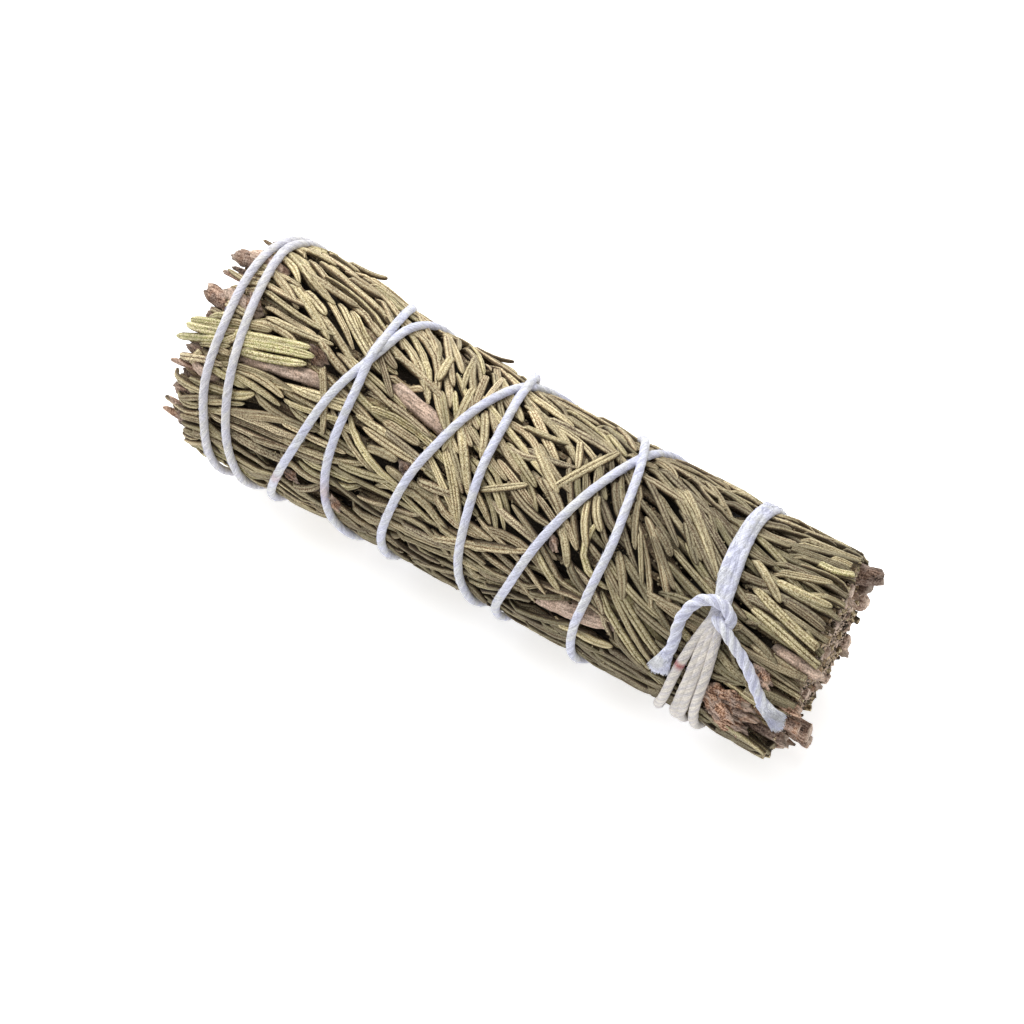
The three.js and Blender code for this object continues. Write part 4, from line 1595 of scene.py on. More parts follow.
@dataclass(frozen=True)
class NeedleShape:
    """The build of a needle: a narrow leaf whose margins are rolled under."""

    upper: Rows = section(
        ((1, 0, 0, 0.85), (0.88, 0.52, 0, 0.2), (0.52, 0.88, 0, -0.35),
         (0.15, 0.98, 0.2, -0.05)), (0, 1, 1, 0.8), UNDERSIDE)
    lower: Rows = section(
        ((1, 0, 0, 0.85), (0.9, 0.56, 0, 0.15), (0.6, 0.92, 0, -0.35),
         (0.3, 0.92, 0.7, 0.5)), (0, 0.9, 0, -0.25), UNDERSIDE)
    # The plainly made needles, which hardly show, take painted shade all round.
    plain_section: Rows = section(
        ((1, 0, 0, 0.55), (0.66, 0.8, 0, 0)), (0, 0.86, 0.5, 0.45),
        ((-0.66, -0.8, 0, 0), (0, -0.86, 0.5, 0.5), (0.66, -0.8, 0, 0)))
    furrow_depth: float = 0.34       # share of the half depth
    # Place from stalk to tip, and width there as a share of the widest.
    outline: Rows = (
        (0, 0.42), (0.05, 0.68), (0.15, 0.9), (0.33, 1), (0.55, 1), (0.74, 0.97),
        (0.87, 0.87), (0.955, 0.66), (1, 0.32))
    plain_outline: Rows = (
        (0, 0.6), (0.12, 0.92), (0.5, 1), (0.88, 0.92), (1, 0.45))
    wither: float = 0.035            # how much the width wanders along a dried needle
    well_seen: float = 0.15          # the shown share from which a needle is made finely

    def add_to(self, skin: Skin, needles: list[Needle], seed: int) -> None:
        """Adds needles to a skin, the well seen ones finely and the others plainly.

        Args:
            skin: What they become part of.
            needles: Those to add.
            seed: The start of the random draws.
        """
        draw = np.random.default_rng(seed)
        fine = [needle for needle in needles if needle.shown >= self.well_seen]
        plain = [needle for needle in needles if needle.shown < self.well_seen]
        upper = [needle for needle in fine if needle.face is Face.UPPER]
        lower = [needle for needle in fine if needle.face is Face.LOWER]
        for group, profile, outline in ((upper, self.upper, self.outline),
                                        (lower, self.lower, self.outline),
                                        (plain, self.plain_section, self.plain_outline)):
            for end in End:
                for samples in sorted({len(needle.x) for needle in group}):
                    chosen = [needle for needle in group
                              if needle.end is end and len(needle.x) == samples]
                    if chosen:
                        self.add_group(skin, chosen, np.array(profile), np.array(outline), end,
                                       draw)

    def add_group(self, skin: Skin, needles: list[Needle], profile: Array, outline: Array,
                  end: End, draw: Draw) -> None:
        """Adds needles that share a section, an outline and a kind of end.

        Args:
            skin: What they become part of.
            needles: Those to add.
            profile: Points round a needle.
            outline: Shares of the length, and of the width there.
            end: How they end.
            draw: The random draws.
        """
        share, width = outline[:, 0], outline[:, 1].copy()
        if end is End.CUT:
            width[share > 0.6] = 0.94
        sample = shares(len(needles[0].x))

        def stations(line: str) -> Array:
            """One of the needles' lines at the outline's places."""
            return np.array([np.interp(share, sample, getattr(n, line)) for n in needles])

        def each(value: str, axes: int) -> Array:
            """One of the needles' own values, ready to spread over more axes."""
            return np.array([getattr(n, value) for n in needles]).reshape(-1, *[1] * axes)
        x, angle, height = stations("x"), stations("angle"), stations("height")
        middle = FORM.lift(x, angle, height)
        length = np.linalg.norm(np.gradient(middle, axis=1), axis=-1, keepdims=True)
        _, side, up = directions(middle, FORM.outward(angle), 1e-9)
        count, places = x.shape
        twist = np.linspace(-0.5, 0.5, places) * draw.normal(0, 9, (count, 1))
        roll = np.radians(each("roll", 1) + twist)[..., None]
        turned_side = side * np.cos(roll) + up * np.sin(roll)
        turned_up = up * np.cos(roll) - side * np.sin(roll)
        wander = 1 + draw.normal(0, self.wither, (count, places))
        half_width = each("half_width", 1) * width * wander
        half_depth = each("half_depth", 1) * np.sqrt(width)
        across = profile[:, 0] * half_width[..., None]
        sunk = each("furrow", 1) * profile[:, 2] * self.furrow_depth
        lowered = profile[:, 1] * (1 - sunk)
        rise = lowered[:, None] * half_depth[..., None]
        rings = (middle[:, :, None] + turned_side[:, :, None] * across[..., None]
                 + turned_up[:, :, None] * rise[..., None])
        # Painted shade from the section; where the furrow draws the section in, it scales with the
        # needle's own furrow.
        dark = profile[:, 3] * np.where(profile[:, 2] > 0, each("furrow", 1), 1.0)
        dark = np.broadcast_to(dark[:, None], across.shape)
        stalk = 0.25 * np.maximum(0.12 - share, 0)[None, :, None] / 0.12
        look = together(np.clip(each("hue", 2) - stalk, 0, 1), each("tone", 2), dark)
        steps = np.concatenate([np.zeros((count, 1, 1)), length[:, :-1]], axis=1)
        run = np.cumsum(steps, axis=1)
        around = np.cumsum(np.hypot(*np.diff(profile[:, :2], axis=0, prepend=profile[-1:, :2]).T))
        number = draw.uniform(0, 400, (count, 1, 1))
        grain = together(run, around * 0.6, number)
        cut = end is End.CUT
        skin.add_tubes(rings, look, grain, caps=(0.2, -0.12 if cut else 0.3),
                       end_look=(0.3, 0.9, 0.0) if cut else None)


@dataclass
class Crumbs:
    """Crumbs of broken leaf and bark: in the hollows, on the cut face, and a few on top."""

    pile: Pile
    seed: int = 77
    in_hollows: int = 5200
    on_face: int = 1700
    # Shares of crumbs that take the needles' near-black shade colour: on the cut face mostly, as
    # painted shade among its needles; on top as dark specks.
    dark_share: float = 0.2
    dark_on_face: float = 0.8
    on_top: int = 420

    def build(self) -> None:
        """Scatters them. Each has a place, a size and a look."""
        draw = np.random.default_rng(self.seed)
        x, angle, height = self.pile.hollows(-0.15, -45.5, 45.0)
        inside = x < FORM.cut_x(angle) - 0.6
        x, angle, height = x[inside], angle[inside], height[inside]
        pick = draw.integers(0, len(x), self.in_hollows)
        # In the hollows the crumbs take lower tones than on top: painted shade in the recesses.
        groups = [(x[pick] + draw.normal(0, 0.1, len(pick)), angle[pick], height[pick] + 0.05,
                   draw.uniform(0.1, 0.34, len(pick)), (0.0, 0.5), (0.05, 0.6))]
        cut, turn, share = FORM.on_cut_face(draw, self.on_face, -0.2)
        face_height = share * FORM.outline(cut, turn) - FORM.outline(cut, turn)
        groups.append((cut, turn, face_height, draw.uniform(0.12, 0.4, self.on_face),
                       (0.0, 0.6), (0.3, 0.9)))
        x, angle = draw.uniform(-42, 45, self.on_top), draw.uniform(0, TURN, self.on_top)
        inside = x < FORM.cut_x(angle) - 1.0
        x, angle = x[inside], angle[inside]
        top = self.pile.height[self.pile.cells(x, angle)]
        groups.append((x, angle, top + 0.02, draw.uniform(0.06, 0.17, len(x)), (0.0, 1.0),
                       (0.55, 1.0)))
        self.x, self.angle, self.height, self.size = (
            np.concatenate([group[i] for group in groups]) for i in range(4))
        # Painted shade: the dark crumbs take the near-black shade value of the needles' finish.
        self.look = np.concatenate([np.stack([
            draw.uniform(*hue, len(x)), draw.uniform(*tone, len(x)),
            np.where(draw.random(len(x)) < dark, 0.85, draw.uniform(-0.2, 0.25, len(x)))],
            axis=-1) for (x, _, _, _, hue, tone), dark in zip(
                groups, (self.dark_share, self.dark_on_face, self.dark_share))])
        self.share = 1 + self.height / FORM.outline(self.x, self.angle)

    def add_to(self, skin: Skin, cell: SprigCell) -> None:
        """Adds those that lie on one sprig.

        Args:
            skin: What they become part of.
            cell: The sprig's place.
        """
        mine = owned(cell, self.x, self.angle, self.share)
        points = FORM.lift(self.x[mine], self.angle[mine], self.height[mine])
        skin.add_crumbs(points, self.size[mine], self.look[mine],
                        np.random.default_rng(self.seed + len(points)))


@dataclass
class Sprig:
    """A sprig's foliage: the needles that it bears, its heart, painted dark as shade, and crumbs
    of leaf.
    """

    cell: SprigCell
    needles: list[Needle]
    crumbs: Crumbs
    number: int
    heart_stations: int = 60
    behind_cut: float = 0.9          # how far behind the cut the heart ends
    gap: float = 0.3                 # between the hearts of neighbours
    roughness: float = 0.16

    def add_heart(self, skin: Skin) -> None:
        """Adds the mass of crushed needles that the outer ones lie on, painted near black as shade
        in the gaps between them.

        Args:
            skin: What it becomes part of.
        """
        cell, draw = self.cell, np.random.default_rng(300 + self.number)
        x = np.linspace(FORM.tip_end, FORM.squared_x - self.behind_cut, self.heart_stations)
        single = cell.count == 1
        inner_sides, outer_sides = (0, 12) if single else (5, 12)
        outer_across = np.arange(outer_sides) / outer_sides if single else shares(12)
        rings = []
        for across in outer_across:
            angle = cell.angle(across, x)
            inset = 0.0 if single else (0.5 - across) * self.gap / FORM.waist_radius
            out = (FORM.outline(x, angle) - FORM.core_depth if cell.outer is None
                   else cell.outer * FORM.radius(x))
            rough = draw.normal(0, self.roughness, len(x))
            rings.append(FORM.place(x, angle + inset, out + rough - 0.1))
        for across in np.linspace(1, 0, inner_sides):
            angle = cell.angle(across, x)
            distance = cell.inner * FORM.radius(x)
            inset = (0.5 - across) * self.gap / (cell.inner * FORM.waist_radius)
            rings.append(FORM.place(x, angle + inset, distance))
        points = np.stack(rings, axis=1)[None]
        shape = points.shape[:3]
        # Painted shade: the heart takes a low tone and the near-black shade value, so the gaps
        # between needles read dark.
        look = np.zeros((*shape, 3))
        look[..., 1] = draw.uniform(0.0, 0.3, shape)
        look[..., 2] = draw.uniform(0.7, 1.0, shape)
        skin.add_tubes(points, look, points * 1.0)

    def make(self, material: Material) -> None:
        """Makes the sprig's foliage.

        Args:
            material: The finish of dried needles.
        """
        skin = Skin()
        self.add_heart(skin)
        NeedleShape().add_to(skin, self.needles, 500 + self.number)
        self.crumbs.add_to(skin, self.cell)
        skin.settle(f"{self.cell.name}_foliage", material, "dried_needles",
                    f"{self.cell.name}_needles")


# ---- woody stems


class Break(Enum):
    """How a twig ends: cut with shears, snapped so that its fibres tear, or worn round.

    The numbers are the damage's reach in mm, how ragged it is, its least and most narrowing,
    how much bare wood shows and how far the end's middle stands out.
    """

    CUT = (0.3, 0.1, 0.0, 0.15, 0.7, -0.2)
    TORN = (1.2, 0.45, 0.1, 0.45, 0.8, -0.5)
    WORN = (0.75, 0.06, 0.3, 0.45, 0.8, 0.1)


@dataclass
class Twig:
    """A length of woody stem, round or squashed, with ridged bark."""

    path: Array                      # points along its middle, in millimetres
    out: Array                       # direction away from the bundle at each
    radius: Array                    # and the radius there
    ends: tuple[Break, Break]
    tone: float = 0.5
    peeled: float = 0.5
    bark_paled: float = 0.0           # how far its bark is paled towards bare wood; on the bare twigs in front it is painted light
    flat: float = 1.0                # height as a share of the width
    relief: float = 0.09             # depth of the bark's ridges, as a share of the radius
    lumps: float = 0.5               # and of its short lumps, as a share of that
    corners: int = 14
    near_end: float = 2.4            # mm of finer rings at each end
    fine_step: float = 0.24
    coarse_step: float = 1.3

    def places(self, length: float) -> Array:
        """Chooses where the rings stand.

        Args:
            length: The twig's length.

        Returns:
            Places along it.
        """
        near = np.arange(0, min(self.near_end, length / 2.2), self.fine_step)
        middle = np.linspace(near[-1], length - near[-1],
                             max(int((length - 2 * near[-1]) / self.coarse_step), 2))
        return np.concatenate([near[:-1], middle, (length - near[:-1])[::-1]])

    def ridges(self, draw: Draw, places: Array, reach: float) -> Array:
        """Smooth random ridges, long along the twig and narrow round it.

        Args:
            draw: The random draws.
            places: Where the rings stand.
            reach: How far a ridge runs.

        Returns:
            One row to a ring.
        """
        knots = max(int(places[-1] / reach) + 2, 2)
        grid = draw.normal(0, 1, (knots, self.corners))
        grid = (grid + 0.5 * np.roll(grid, 1, axis=1)) / 1.12
        at = places / places[-1] * (knots - 1)
        index = np.clip(at.astype(int), 0, knots - 2)
        part = (at - index)[:, None]
        return grid[index] * (1 - part) + grid[index + 1] * part

    def add_to(self, skin: Skin, draw: Draw) -> None:
        """Adds the twig to a skin.

        Args:
            skin: What it becomes part of.
            draw: The random draws.
        """
        run = run_along(self.path)
        places = self.places(run[-1])
        path, out, radius = (read_at(places, run, line)
                             for line in (self.path, self.out, self.radius))
        tangent, side, up = directions(path, out)
        radius = radius[:, None] * np.ones(self.corners)
        radius *= (1 + self.relief * self.ridges(draw, places, 3.0)
                   + self.lumps * self.relief * self.ridges(draw, places, 0.7))
        turn = TURN * np.arange(self.corners) / self.corners
        shift = np.zeros_like(radius)
        bare = np.full_like(radius, self.bark_paled)
        for end, way, distance in ((self.ends[0], -1, places),
                                   (self.ends[1], 1, places[-1] - places)):
            reach, depth, least, most, wood, _ = end.value
            near = np.clip(1 - distance / reach, 0, 1)[:, None] ** 1.5
            aslant, forked, bristly = (draw.normal(0, depth, n) for n in (2, 2, self.corners))
            ragged = (aslant @ (np.cos(turn), np.sin(turn)) + 0.35 * bristly
                      + 0.6 * forked @ (np.cos(2 * turn), np.sin(2 * turn)))
            shift += way * near * ragged * float(radius.mean())
            radius *= 1 - near * draw.uniform(least, most, self.corners)
            bare += near * draw.uniform(0.2, 0.9, self.corners) * wood
        across, rise = np.cos(turn) * radius, np.sin(turn) * radius * self.flat
        rings = (path[:, None] + side[:, None] * across[..., None]
                 + up[:, None] * rise[..., None] + tangent[:, None] * shift[..., None])
        tone = self.tone + 0.1 * self.ridges(draw, places, 1.5)
        look = together(np.clip(bare, 0, 1), np.clip(tone, 0, 1), self.peeled)
        number = draw.uniform(0, 300)
        grain = together(places[:, None], across + number, rise)
        bare_end = (0.8, self.tone, self.peeled)
        skin.add_tubes(rings[None], look[None], grain[None],
                       caps=tuple(end.value[-1] for end in self.ends),
                       start_look=bare_end, end_look=bare_end)


@dataclass(frozen=True)
class SprigStem:
    """The woody stem of one sprig, thicker towards the end that was cut."""

    cell: SprigCell
    number: int
    thin_share: float = 0.72
    stands_out: float = 0.3          # mm out of the cut face
    longest: str = "outer_sprig_04"  # this one keeps its end, well out of the face
    thick_at_tip: tuple[str, ...] = ("outer_sprig_01", "outer_sprig_10")

    def make(self, material: Material) -> None:
        """Makes the stem along the line of its node.

        Args:
            material: The finish of woody stems.
        """
        name = self.cell.name
        low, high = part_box(f"{name}_stem")
        face_angle = float(self.cell.angle(0.5, FORM.butt_end))
        out_of_face = float(FORM.cut_x(face_angle, self.cell.stem_share)) + self.stands_out
        far = (high[0] / MM if name == self.longest
               else min(out_of_face + 0.25 * math.sin(5 * self.number), high[0] / MM))
        x = np.linspace(low[0] / MM, far, 60)
        angle = np.broadcast_to(self.cell.angle(0.5, x), x.shape)
        path = FORM.place(x, angle, self.cell.stem_share * FORM.radius(x))
        share = shares(len(x))
        thick = 1 - share if name in self.thick_at_tip else share
        radius = self.cell.stem_radius * (self.thin_share + (1 - self.thin_share) * thick)
        draw = np.random.default_rng(900 + self.number)
        butt = (Break.CUT, Break.WORN, Break.TORN)[self.number % 3]
        skin = Skin()
        Twig(path, FORM.outward(angle), radius, (Break.TORN, butt), peeled=draw.uniform(0.2, 1),
             tone=draw.uniform(0.4, 0.75), coarse_step=2.5).add_to(skin, draw)
        skin.settle(f"{name}_woody_stem", material, "woody_stem", f"{name}_stem")


@dataclass(frozen=True)
class EndTwig:
    """A twig that stands out of one end of the bundle."""

    angle: float                     # degrees
    share: float                     # of the way out from the axis
    root_x: float
    end_x: float
    radius: float
    tone: float = 0.5
    peeled: float = 0.5
    flat: float = 1.0
    end: Break = Break.TORN
    flare: float = 0.0               # how far its end bends out
    taper: float = 1.0               # radius of its end as a share of its root's


END_TWIGS = tuple(EndTwig(*row) for row in (
    (-15, 0.93, -41, -49.3, 1.35, 0.4, 0.5, 0.8), (-6, 0.9, -43, -48.4, 0.35, 0.2),
    (2, 0.95, -43, -48.6, 0.4, 0.8), (16, 0.93, -41, -48.8, 1.3, 0.45, 0.6, 0.7),
    (24, 0.84, -41, -47.4, 0.9, 0.4, 1), (46, 0.93, -42, -47, 0.8, 0.35, 0.2, 0.6),
    (55, 0.95, -42, -48.9, 0.42, 0.75), (61, 0.9, -42, -46.9, 0.9, 0.3, 0.1, 0.6),
    (68, 0.95, -42, -47.3, 0.7, 0.3), (75, 0.93, -42, -47.5, 0.8, 0.4, 0.3, 0.7),
    (81, 0.96, -42, -48.3, 0.45, 0.6), (88, 0.93, -42, -47.8, 0.9, 0.25, 0.2, 0.6),
    (93, 0.95, -42, -49.3, 0.5, 0.55, 0.8), (99, 0.92, -42, -48.2, 0.8, 0.25, 0, 0.7),
    (104, 0.9, -42, -47.2, 0.7, 0.4), (150, 0.8, -42, -47.4, 0.9),
    (190, 0.7, -42, -47.8, 0.7), (232, 0.9, -42, -47.9, 0.9, 0.4),
    (275, 0.88, -42, -48.3, 0.8, 0.6), (312, 0.92, -42, -48, 1, 0.5, 1),
    (335, 0.75, -42, -47.3, 0.8),
    (-61, 0.86, 40.5, 46.5, 2.7, 0.25, 0.5, 0.82, Break.CUT, 1.2, 0.45),
    (-79, 0.84, 41, 45, 1.3, 0.2, 0.2, 0.9, Break.CUT, 0.2),
    (-101, 0.9, 41, 44.9, 1.25, 1, 0, 1, Break.WORN),
    (-118, 0.8, 41, 44, 1, 0.9, 0.2, 1, Break.WORN),
    (-132, 0.91, 41, 44.5, 1.1, 1, 0, 1, Break.WORN),
    (-157, 0.88, 41, 44.3, 0.9, 0.8, 0.5, 1, Break.WORN),
    (160, 0.94, 41, 46.8, 0.85, 0.7, 1, 0.9, Break.CUT),
    (-30, 0.8, 42, 45.1, 0.85, 0.7, 0.4, 1, Break.CUT),
    (6, 0.74, 42, 46.2, 0.8, 0.6, 0.3, 1, Break.CUT),
    (30, 0.68, 42, 46.5, 0.8, 0.5, 0.5, 1, Break.CUT), (40, 0.9, 42, 47.9, 0.65, 0.8, 1),
    (56, 0.8, 42, 47.2, 0.8, 0.7, 0.6, 0.9, Break.CUT), (64, 0.93, 41, 47.6, 0.7, 0.8, 1),
    (75, 0.93, 41, 48.2, 0.9, 0.62, 1, 0.8, Break.CUT),
    (90, 0.93, 41, 46.9, 0.8, 0.35, 0.3), (112, 0.85, 42, 46.4, 0.8, 0.5, 0.8),
    (140, 0.9, 42, 44.8, 0.9, 0.6, 0.7),
))


@dataclass
class Litter:
    """Twigs that show between the needles or stand out of the ends, and chips of bark."""

    seed: int = 61
    grit: int = 3600                 # crumbs on the cut face
    painted_light_in_front: float = 0.35    # painted light: how much paler the bare twigs in front and on top are painted than those behind
    painted_light_behind: float = 0.08

    def __post_init__(self) -> None:
        """Prepares the seeded draw."""
        self.draw = np.random.default_rng(self.seed)

    def make_face_grit(self, material: Material) -> None:
        """Makes the crumbled pith and bark that the shears left on the cut face.

        Args:
            material: Its finish.
        """
        draw, count = self.draw, self.grit
        cut, turn, share = FORM.on_cut_face(draw, count, -0.15)
        points = FORM.place(cut, turn, share * FORM.outline(cut, turn))
        # Painted shade and light: the dark crumbs stand for the shaded pits of the face, and the
        # others' tones are raised so that the face reads lit.
        dark = draw.random(count) < 0.15
        look = np.stack([np.where(dark, 0.0, draw.uniform(0.5, 1.0, count)),
                         np.where(dark, 0.0, draw.uniform(0.6, 1.0, count)),
                         draw.uniform(0, 0.6, count)], axis=-1)
        skin = Skin()
        skin.add_crumbs(points, draw.uniform(0.1, 0.36, count), look, draw)
        skin.settle("cut_face_grit", material, "woody_stem")

    def make_bare_twigs(self, material: Material) -> None:
        """Makes the twigs that show at the surface.

        Args:
            material: Their finish.
        """
        skin = Skin()
        for twig in BARE_TWIGS:
            x, angle, height = twig.path(30)
            radius = twig.radius * (1 - 0.12 * shares(30))
            # Painted light: the twigs in front, where the light falls, are painted paler in tone
            # and bark than those behind.
            painted_paling = self.painted_light_in_front if twig.line[1] < 120 else self.painted_light_behind
            Twig(FORM.lift(x, angle, height), FORM.outward(angle), radius,
                 (Break.TORN, Break.TORN), tone=self.draw.uniform(0.45, 0.7) + painted_paling,
                 peeled=self.draw.uniform(0.1, 0.5), bark_paled=painted_paling, flat=0.92,
                 coarse_step=0.6).add_to(skin, self.draw)
        skin.settle("bare_twigs", material, "woody_stem")

    def make_end_twigs(self, material: Material) -> None:
        """Makes the twigs that stand out of the ends.

        Args:
            material: Their finish.
        """
        skin = Skin()
        bend = shares(12) ** 2
        for twig in END_TWIGS:
            x = np.linspace(twig.root_x, twig.end_x, 12)
            angle = np.radians(twig.angle) + self.draw.normal(0, 0.02) * bend
            path = FORM.place(x, angle, twig.share * FORM.radius(x) + twig.flare * bend)
            radius = twig.radius * np.linspace(1, twig.taper, 12)
            Twig(path, FORM.outward(angle), radius, (Break.CUT, twig.end),
                 tone=twig.tone, peeled=twig.peeled, flat=twig.flat, relief=0.13,
                 coarse_step=0.5).add_to(skin, self.draw)
        skin.settle("end_twigs", material, "woody_stem")

    def make_bark_chips(self, material: Material) -> None:
        """Makes the crumpled chips of bark and the withered buds.

        Args:
            material: Their finish.
        """
        skin = Skin()
        share = shares(14)
        bulge = 0.55 + 0.45 * np.sin(math.pi * np.clip(share, 0.06, 0.94))
        for *ends, half_width, top, tone in BARK_CHIPS:
            x, angle = surface_line(ends, len(share))
            Twig(FORM.lift(x, angle, np.full(len(share), top - 0.35)), FORM.outward(angle),
                 half_width * bulge, (Break.TORN, Break.TORN), tone, 1.0, flat=0.45,
                 relief=0.26, lumps=1.3, corners=18, coarse_step=0.3).add_to(skin, self.draw)
        skin.settle("bark_chips", material, "woody_stem")


# ---- the cotton string


@dataclass
class Rope:
    """A length of string, twisted from three soft plies to the right."""

    plies: int = 3
    lay: float = 5.4                 # mm along the rope for one turn of a ply
    corners: int = 15                # a multiple of the plies, so that each valley has its own
    groove: float = 0.07             # depth of the valleys, as a share of the radius

    def add_to(self, skin: Skin, path: Array, out: Array, radius: Array, cream: Array,
               stain: Array, groove: Array, floor: float | None = None) -> None:
        """Adds the rope along a path.

        Args:
            skin: What it is added to.
            path: Points that it follows, in millimetres.
            out: The direction away from the bundle at each point.
            radius: Half its width and half its height at each point.
            cream: How creamy it is at each point, from 0 to 1.
            stain: How stained it is at each point, from 0 to 1.
            groove: Depth of the valleys at each point, as a share of the radius.
            floor: The lowest that it may reach, where it is pressed flat.
        """
        run = run_along(path)
        places = np.arange(0, run[-1], self.lay / self.corners)
        path, out, radius, cream, stain, groove = (
            read_at(places, run, line) for line in (path, out, radius, cream, stain, groove))
        _, side, up = directions(path, out)
        # Each ring's valleys stand one corner on from those of the ring before.
        number = np.arange(self.corners)
        turn = TURN * number / self.corners
        ply = turn[(number[None] + np.arange(len(places))[:, None]) % self.corners]
        lobe = np.abs(np.cos(self.plies * ply / 2)) ** 0.7
        # Painted shade: how much the valleys between plies are greyed, more where the grooves are
        # deeper.
        valley_shade = (1 - lobe) ** 1.3 * np.clip(groove / 0.12, 0.4, 1.2)[:, None]
        size = 1 - groove[:, None] * (1 - lobe)
        across = np.cos(turn) * size * radius[:, :1]
        rise = np.sin(turn) * size * radius[:, 1:]
        rings = (path[:, None] + side[:, None] * across[..., None]
                 + up[:, None] * rise[..., None])
        if floor is not None:
            rings[..., 2] = np.maximum(rings[..., 2], floor)
        look = together(cream[:, None], np.clip(valley_shade, 0, 1), stain[:, None])
        # The fibres run along the plies, so their places turn with them.
        grain = together(places[:, None], np.cos(ply) * radius[:, :1],
                         np.sin(ply) * radius[:, :1])
        skin.add_tubes(rings[None], look[None], grain[None], twisted=True)


def add_fibres(skin: Skin, roots: Array, middles: Array, tips: Array, thickness: Array,
               look: tuple[float, float, float]) -> None:
    """Adds loose cotton fibres, each bent through three points.

    Args:
        skin: What they become part of.
        roots: Where they start.
        middles: Where they bend.
        tips: Where they end.
        thickness: Half of the width of each.
        look: The three values of the look.
    """
    share = np.array([0.0, 0.5, 1.0])
    taper = np.array([1.0, 0.85, 0.45])
    count = len(roots)
    line = (roots[:, None] * ((1 - share) ** 2)[:, None]
            + middles[:, None] * (2 * share * (1 - share))[:, None]
            + tips[:, None] * (share ** 2)[:, None])
    _, side, up = directions(line, np.array([0.3, 0.5, 0.81]), 1e-9)
    turn = TURN * np.arange(3) / 3
    size = thickness[:, None, None, None] * taper[:, None, None]
    rings = line[:, :, None] + size * (side[:, :, None] * np.cos(turn)[:, None]
                                       + up[:, :, None] * np.sin(turn)[:, None])
    looks = np.broadcast_to(np.array(look), (count, 3, 3, 3))
    skin.add_tubes(rings, looks, rings * 1.0)


def turned_to_side(turned: Array) -> Array:
    """A counted angle as one from -180 to 180 degrees."""
    return (turned + 180.0) % 360.0 - 180.0


@dataclass
class StringWinding:
    """The string's twelve turns round the bundle, with a little fuzz."""

    rope: Rope = field(default_factory=Rope)
    flatness: float = 0.93           # height of the taut string as a share of its width
    cream_from: float = 27.0         # x from which the string is creamier, below the knot
    loosened: float = 0.06           # how much thicker it is there
    spread: float = 0.04             # how much wider above the knot, where the turns merge
    greyed: float = 0.4              # how far the turns at the tips have lost their blue
    fibres: int = 4200
    band_share: float = 3.0          # how much fuzzier the band above the knot is
    floor: float = 0.05              # the lowest that a fibre may reach
    stains: Rows = ((67.0, 1.5, 1.0), (2240, 7.0, 0.25), (1168, 3.0, 0.3))

    def path(self) -> tuple[Array, Array, Array]:
        """Follows the route round the bundle.

        Returns:
            The middle line, the direction out, and the counted angle.
        """
        turned = np.arange(ROUTE.first, ROUTE.last + 1e-6, 1.5)
        angle = np.radians(turned)
        x = ROUTE.x(turned)
        height = ROUTE.middle_height(angle) + ROUTE.rise(turned)
        return FORM.lift(x, angle, height), FORM.outward(angle), turned

    def add_fuzz(self, skin: Skin, path: Array, out: Array, above: Array) -> None:
        """Adds fibres that stand off the string, more of them above the knot.

        Args:
            skin: What they become part of.
            path: The middle line.
            out: The direction out.
            above: How far each point is in the band above the knot, from 0 to 1.
        """
        draw = np.random.default_rng(7)
        weight = (1 + self.band_share * above)[4:-5]
        pick = 4 + draw.choice(len(weight), self.fibres, p=weight / weight.sum())
        along = unit(path[pick + 1] - path[pick - 1])
        side = np.cross(along, out[pick])
        turn = draw.uniform(-0.3, math.pi + 0.3, self.fibres)[:, None]
        off = side * np.cos(turn) + out[pick] * np.sin(turn)
        roots = path[pick] + off * ROUTE.rope_radius * 0.9
        way = along * draw.choice([-1.0, 1.0], self.fibres)[:, None]
        length = draw.uniform(0.5, 1.2, self.fibres)[:, None]
        lift = draw.uniform(0.03, 0.22, self.fibres)[:, None]
        aside = np.cross(along, off) * draw.normal(0, 0.16, self.fibres)[:, None]
        middles = roots + way * length * 0.5 + off * lift * 1.3
        tips = roots + way * length + off * lift * 0.6 + aside
        for places in (roots, middles, tips):
            places[:, 2] = np.maximum(places[:, 2], self.floor)
        add_fibres(skin, roots, middles, tips, draw.uniform(0.018, 0.03, self.fibres),
                   (0.0, 0.1, 0.0))

    def make(self, material: Material) -> None:
        """Makes the winding.

        Args:
            material: The finish of cotton.
        """
        path, out, turned = self.path()
        side = turned % 360.0
        below = 1 / (1 + np.exp(-(side - 36) / 3)) / (1 + np.exp((side - 150) / 12))
        banded = 1 / (1 + np.exp(-(path[:, 0] - self.cream_from) / 0.8))
        cream = below * banded
        above = banded / (1 + np.exp((turned_to_side(turned) - 20) / 4))
        width = ROUTE.rope_radius + self.loosened * cream + self.spread * above
        radius = np.stack([width, width * (self.flatness - 0.1 * above)], axis=-1)
        cream = cream + self.greyed / (1 + np.exp((path[:, 0] + 34) / 1.5))
        stain = sum(depth * np.exp(-((turned - middle) / reach) ** 2)
                    for middle, reach, depth in self.stains)
        groove = self.rope.groove * (1 - 0.8 * above)
        skin = Skin()
        self.rope.add_to(skin, path, out, radius, cream, stain, groove, floor=0.03)
        self.add_fuzz(skin, path, out, above)
        skin.settle("cotton_string_winding", material, "cotton_string", "cotton_string")


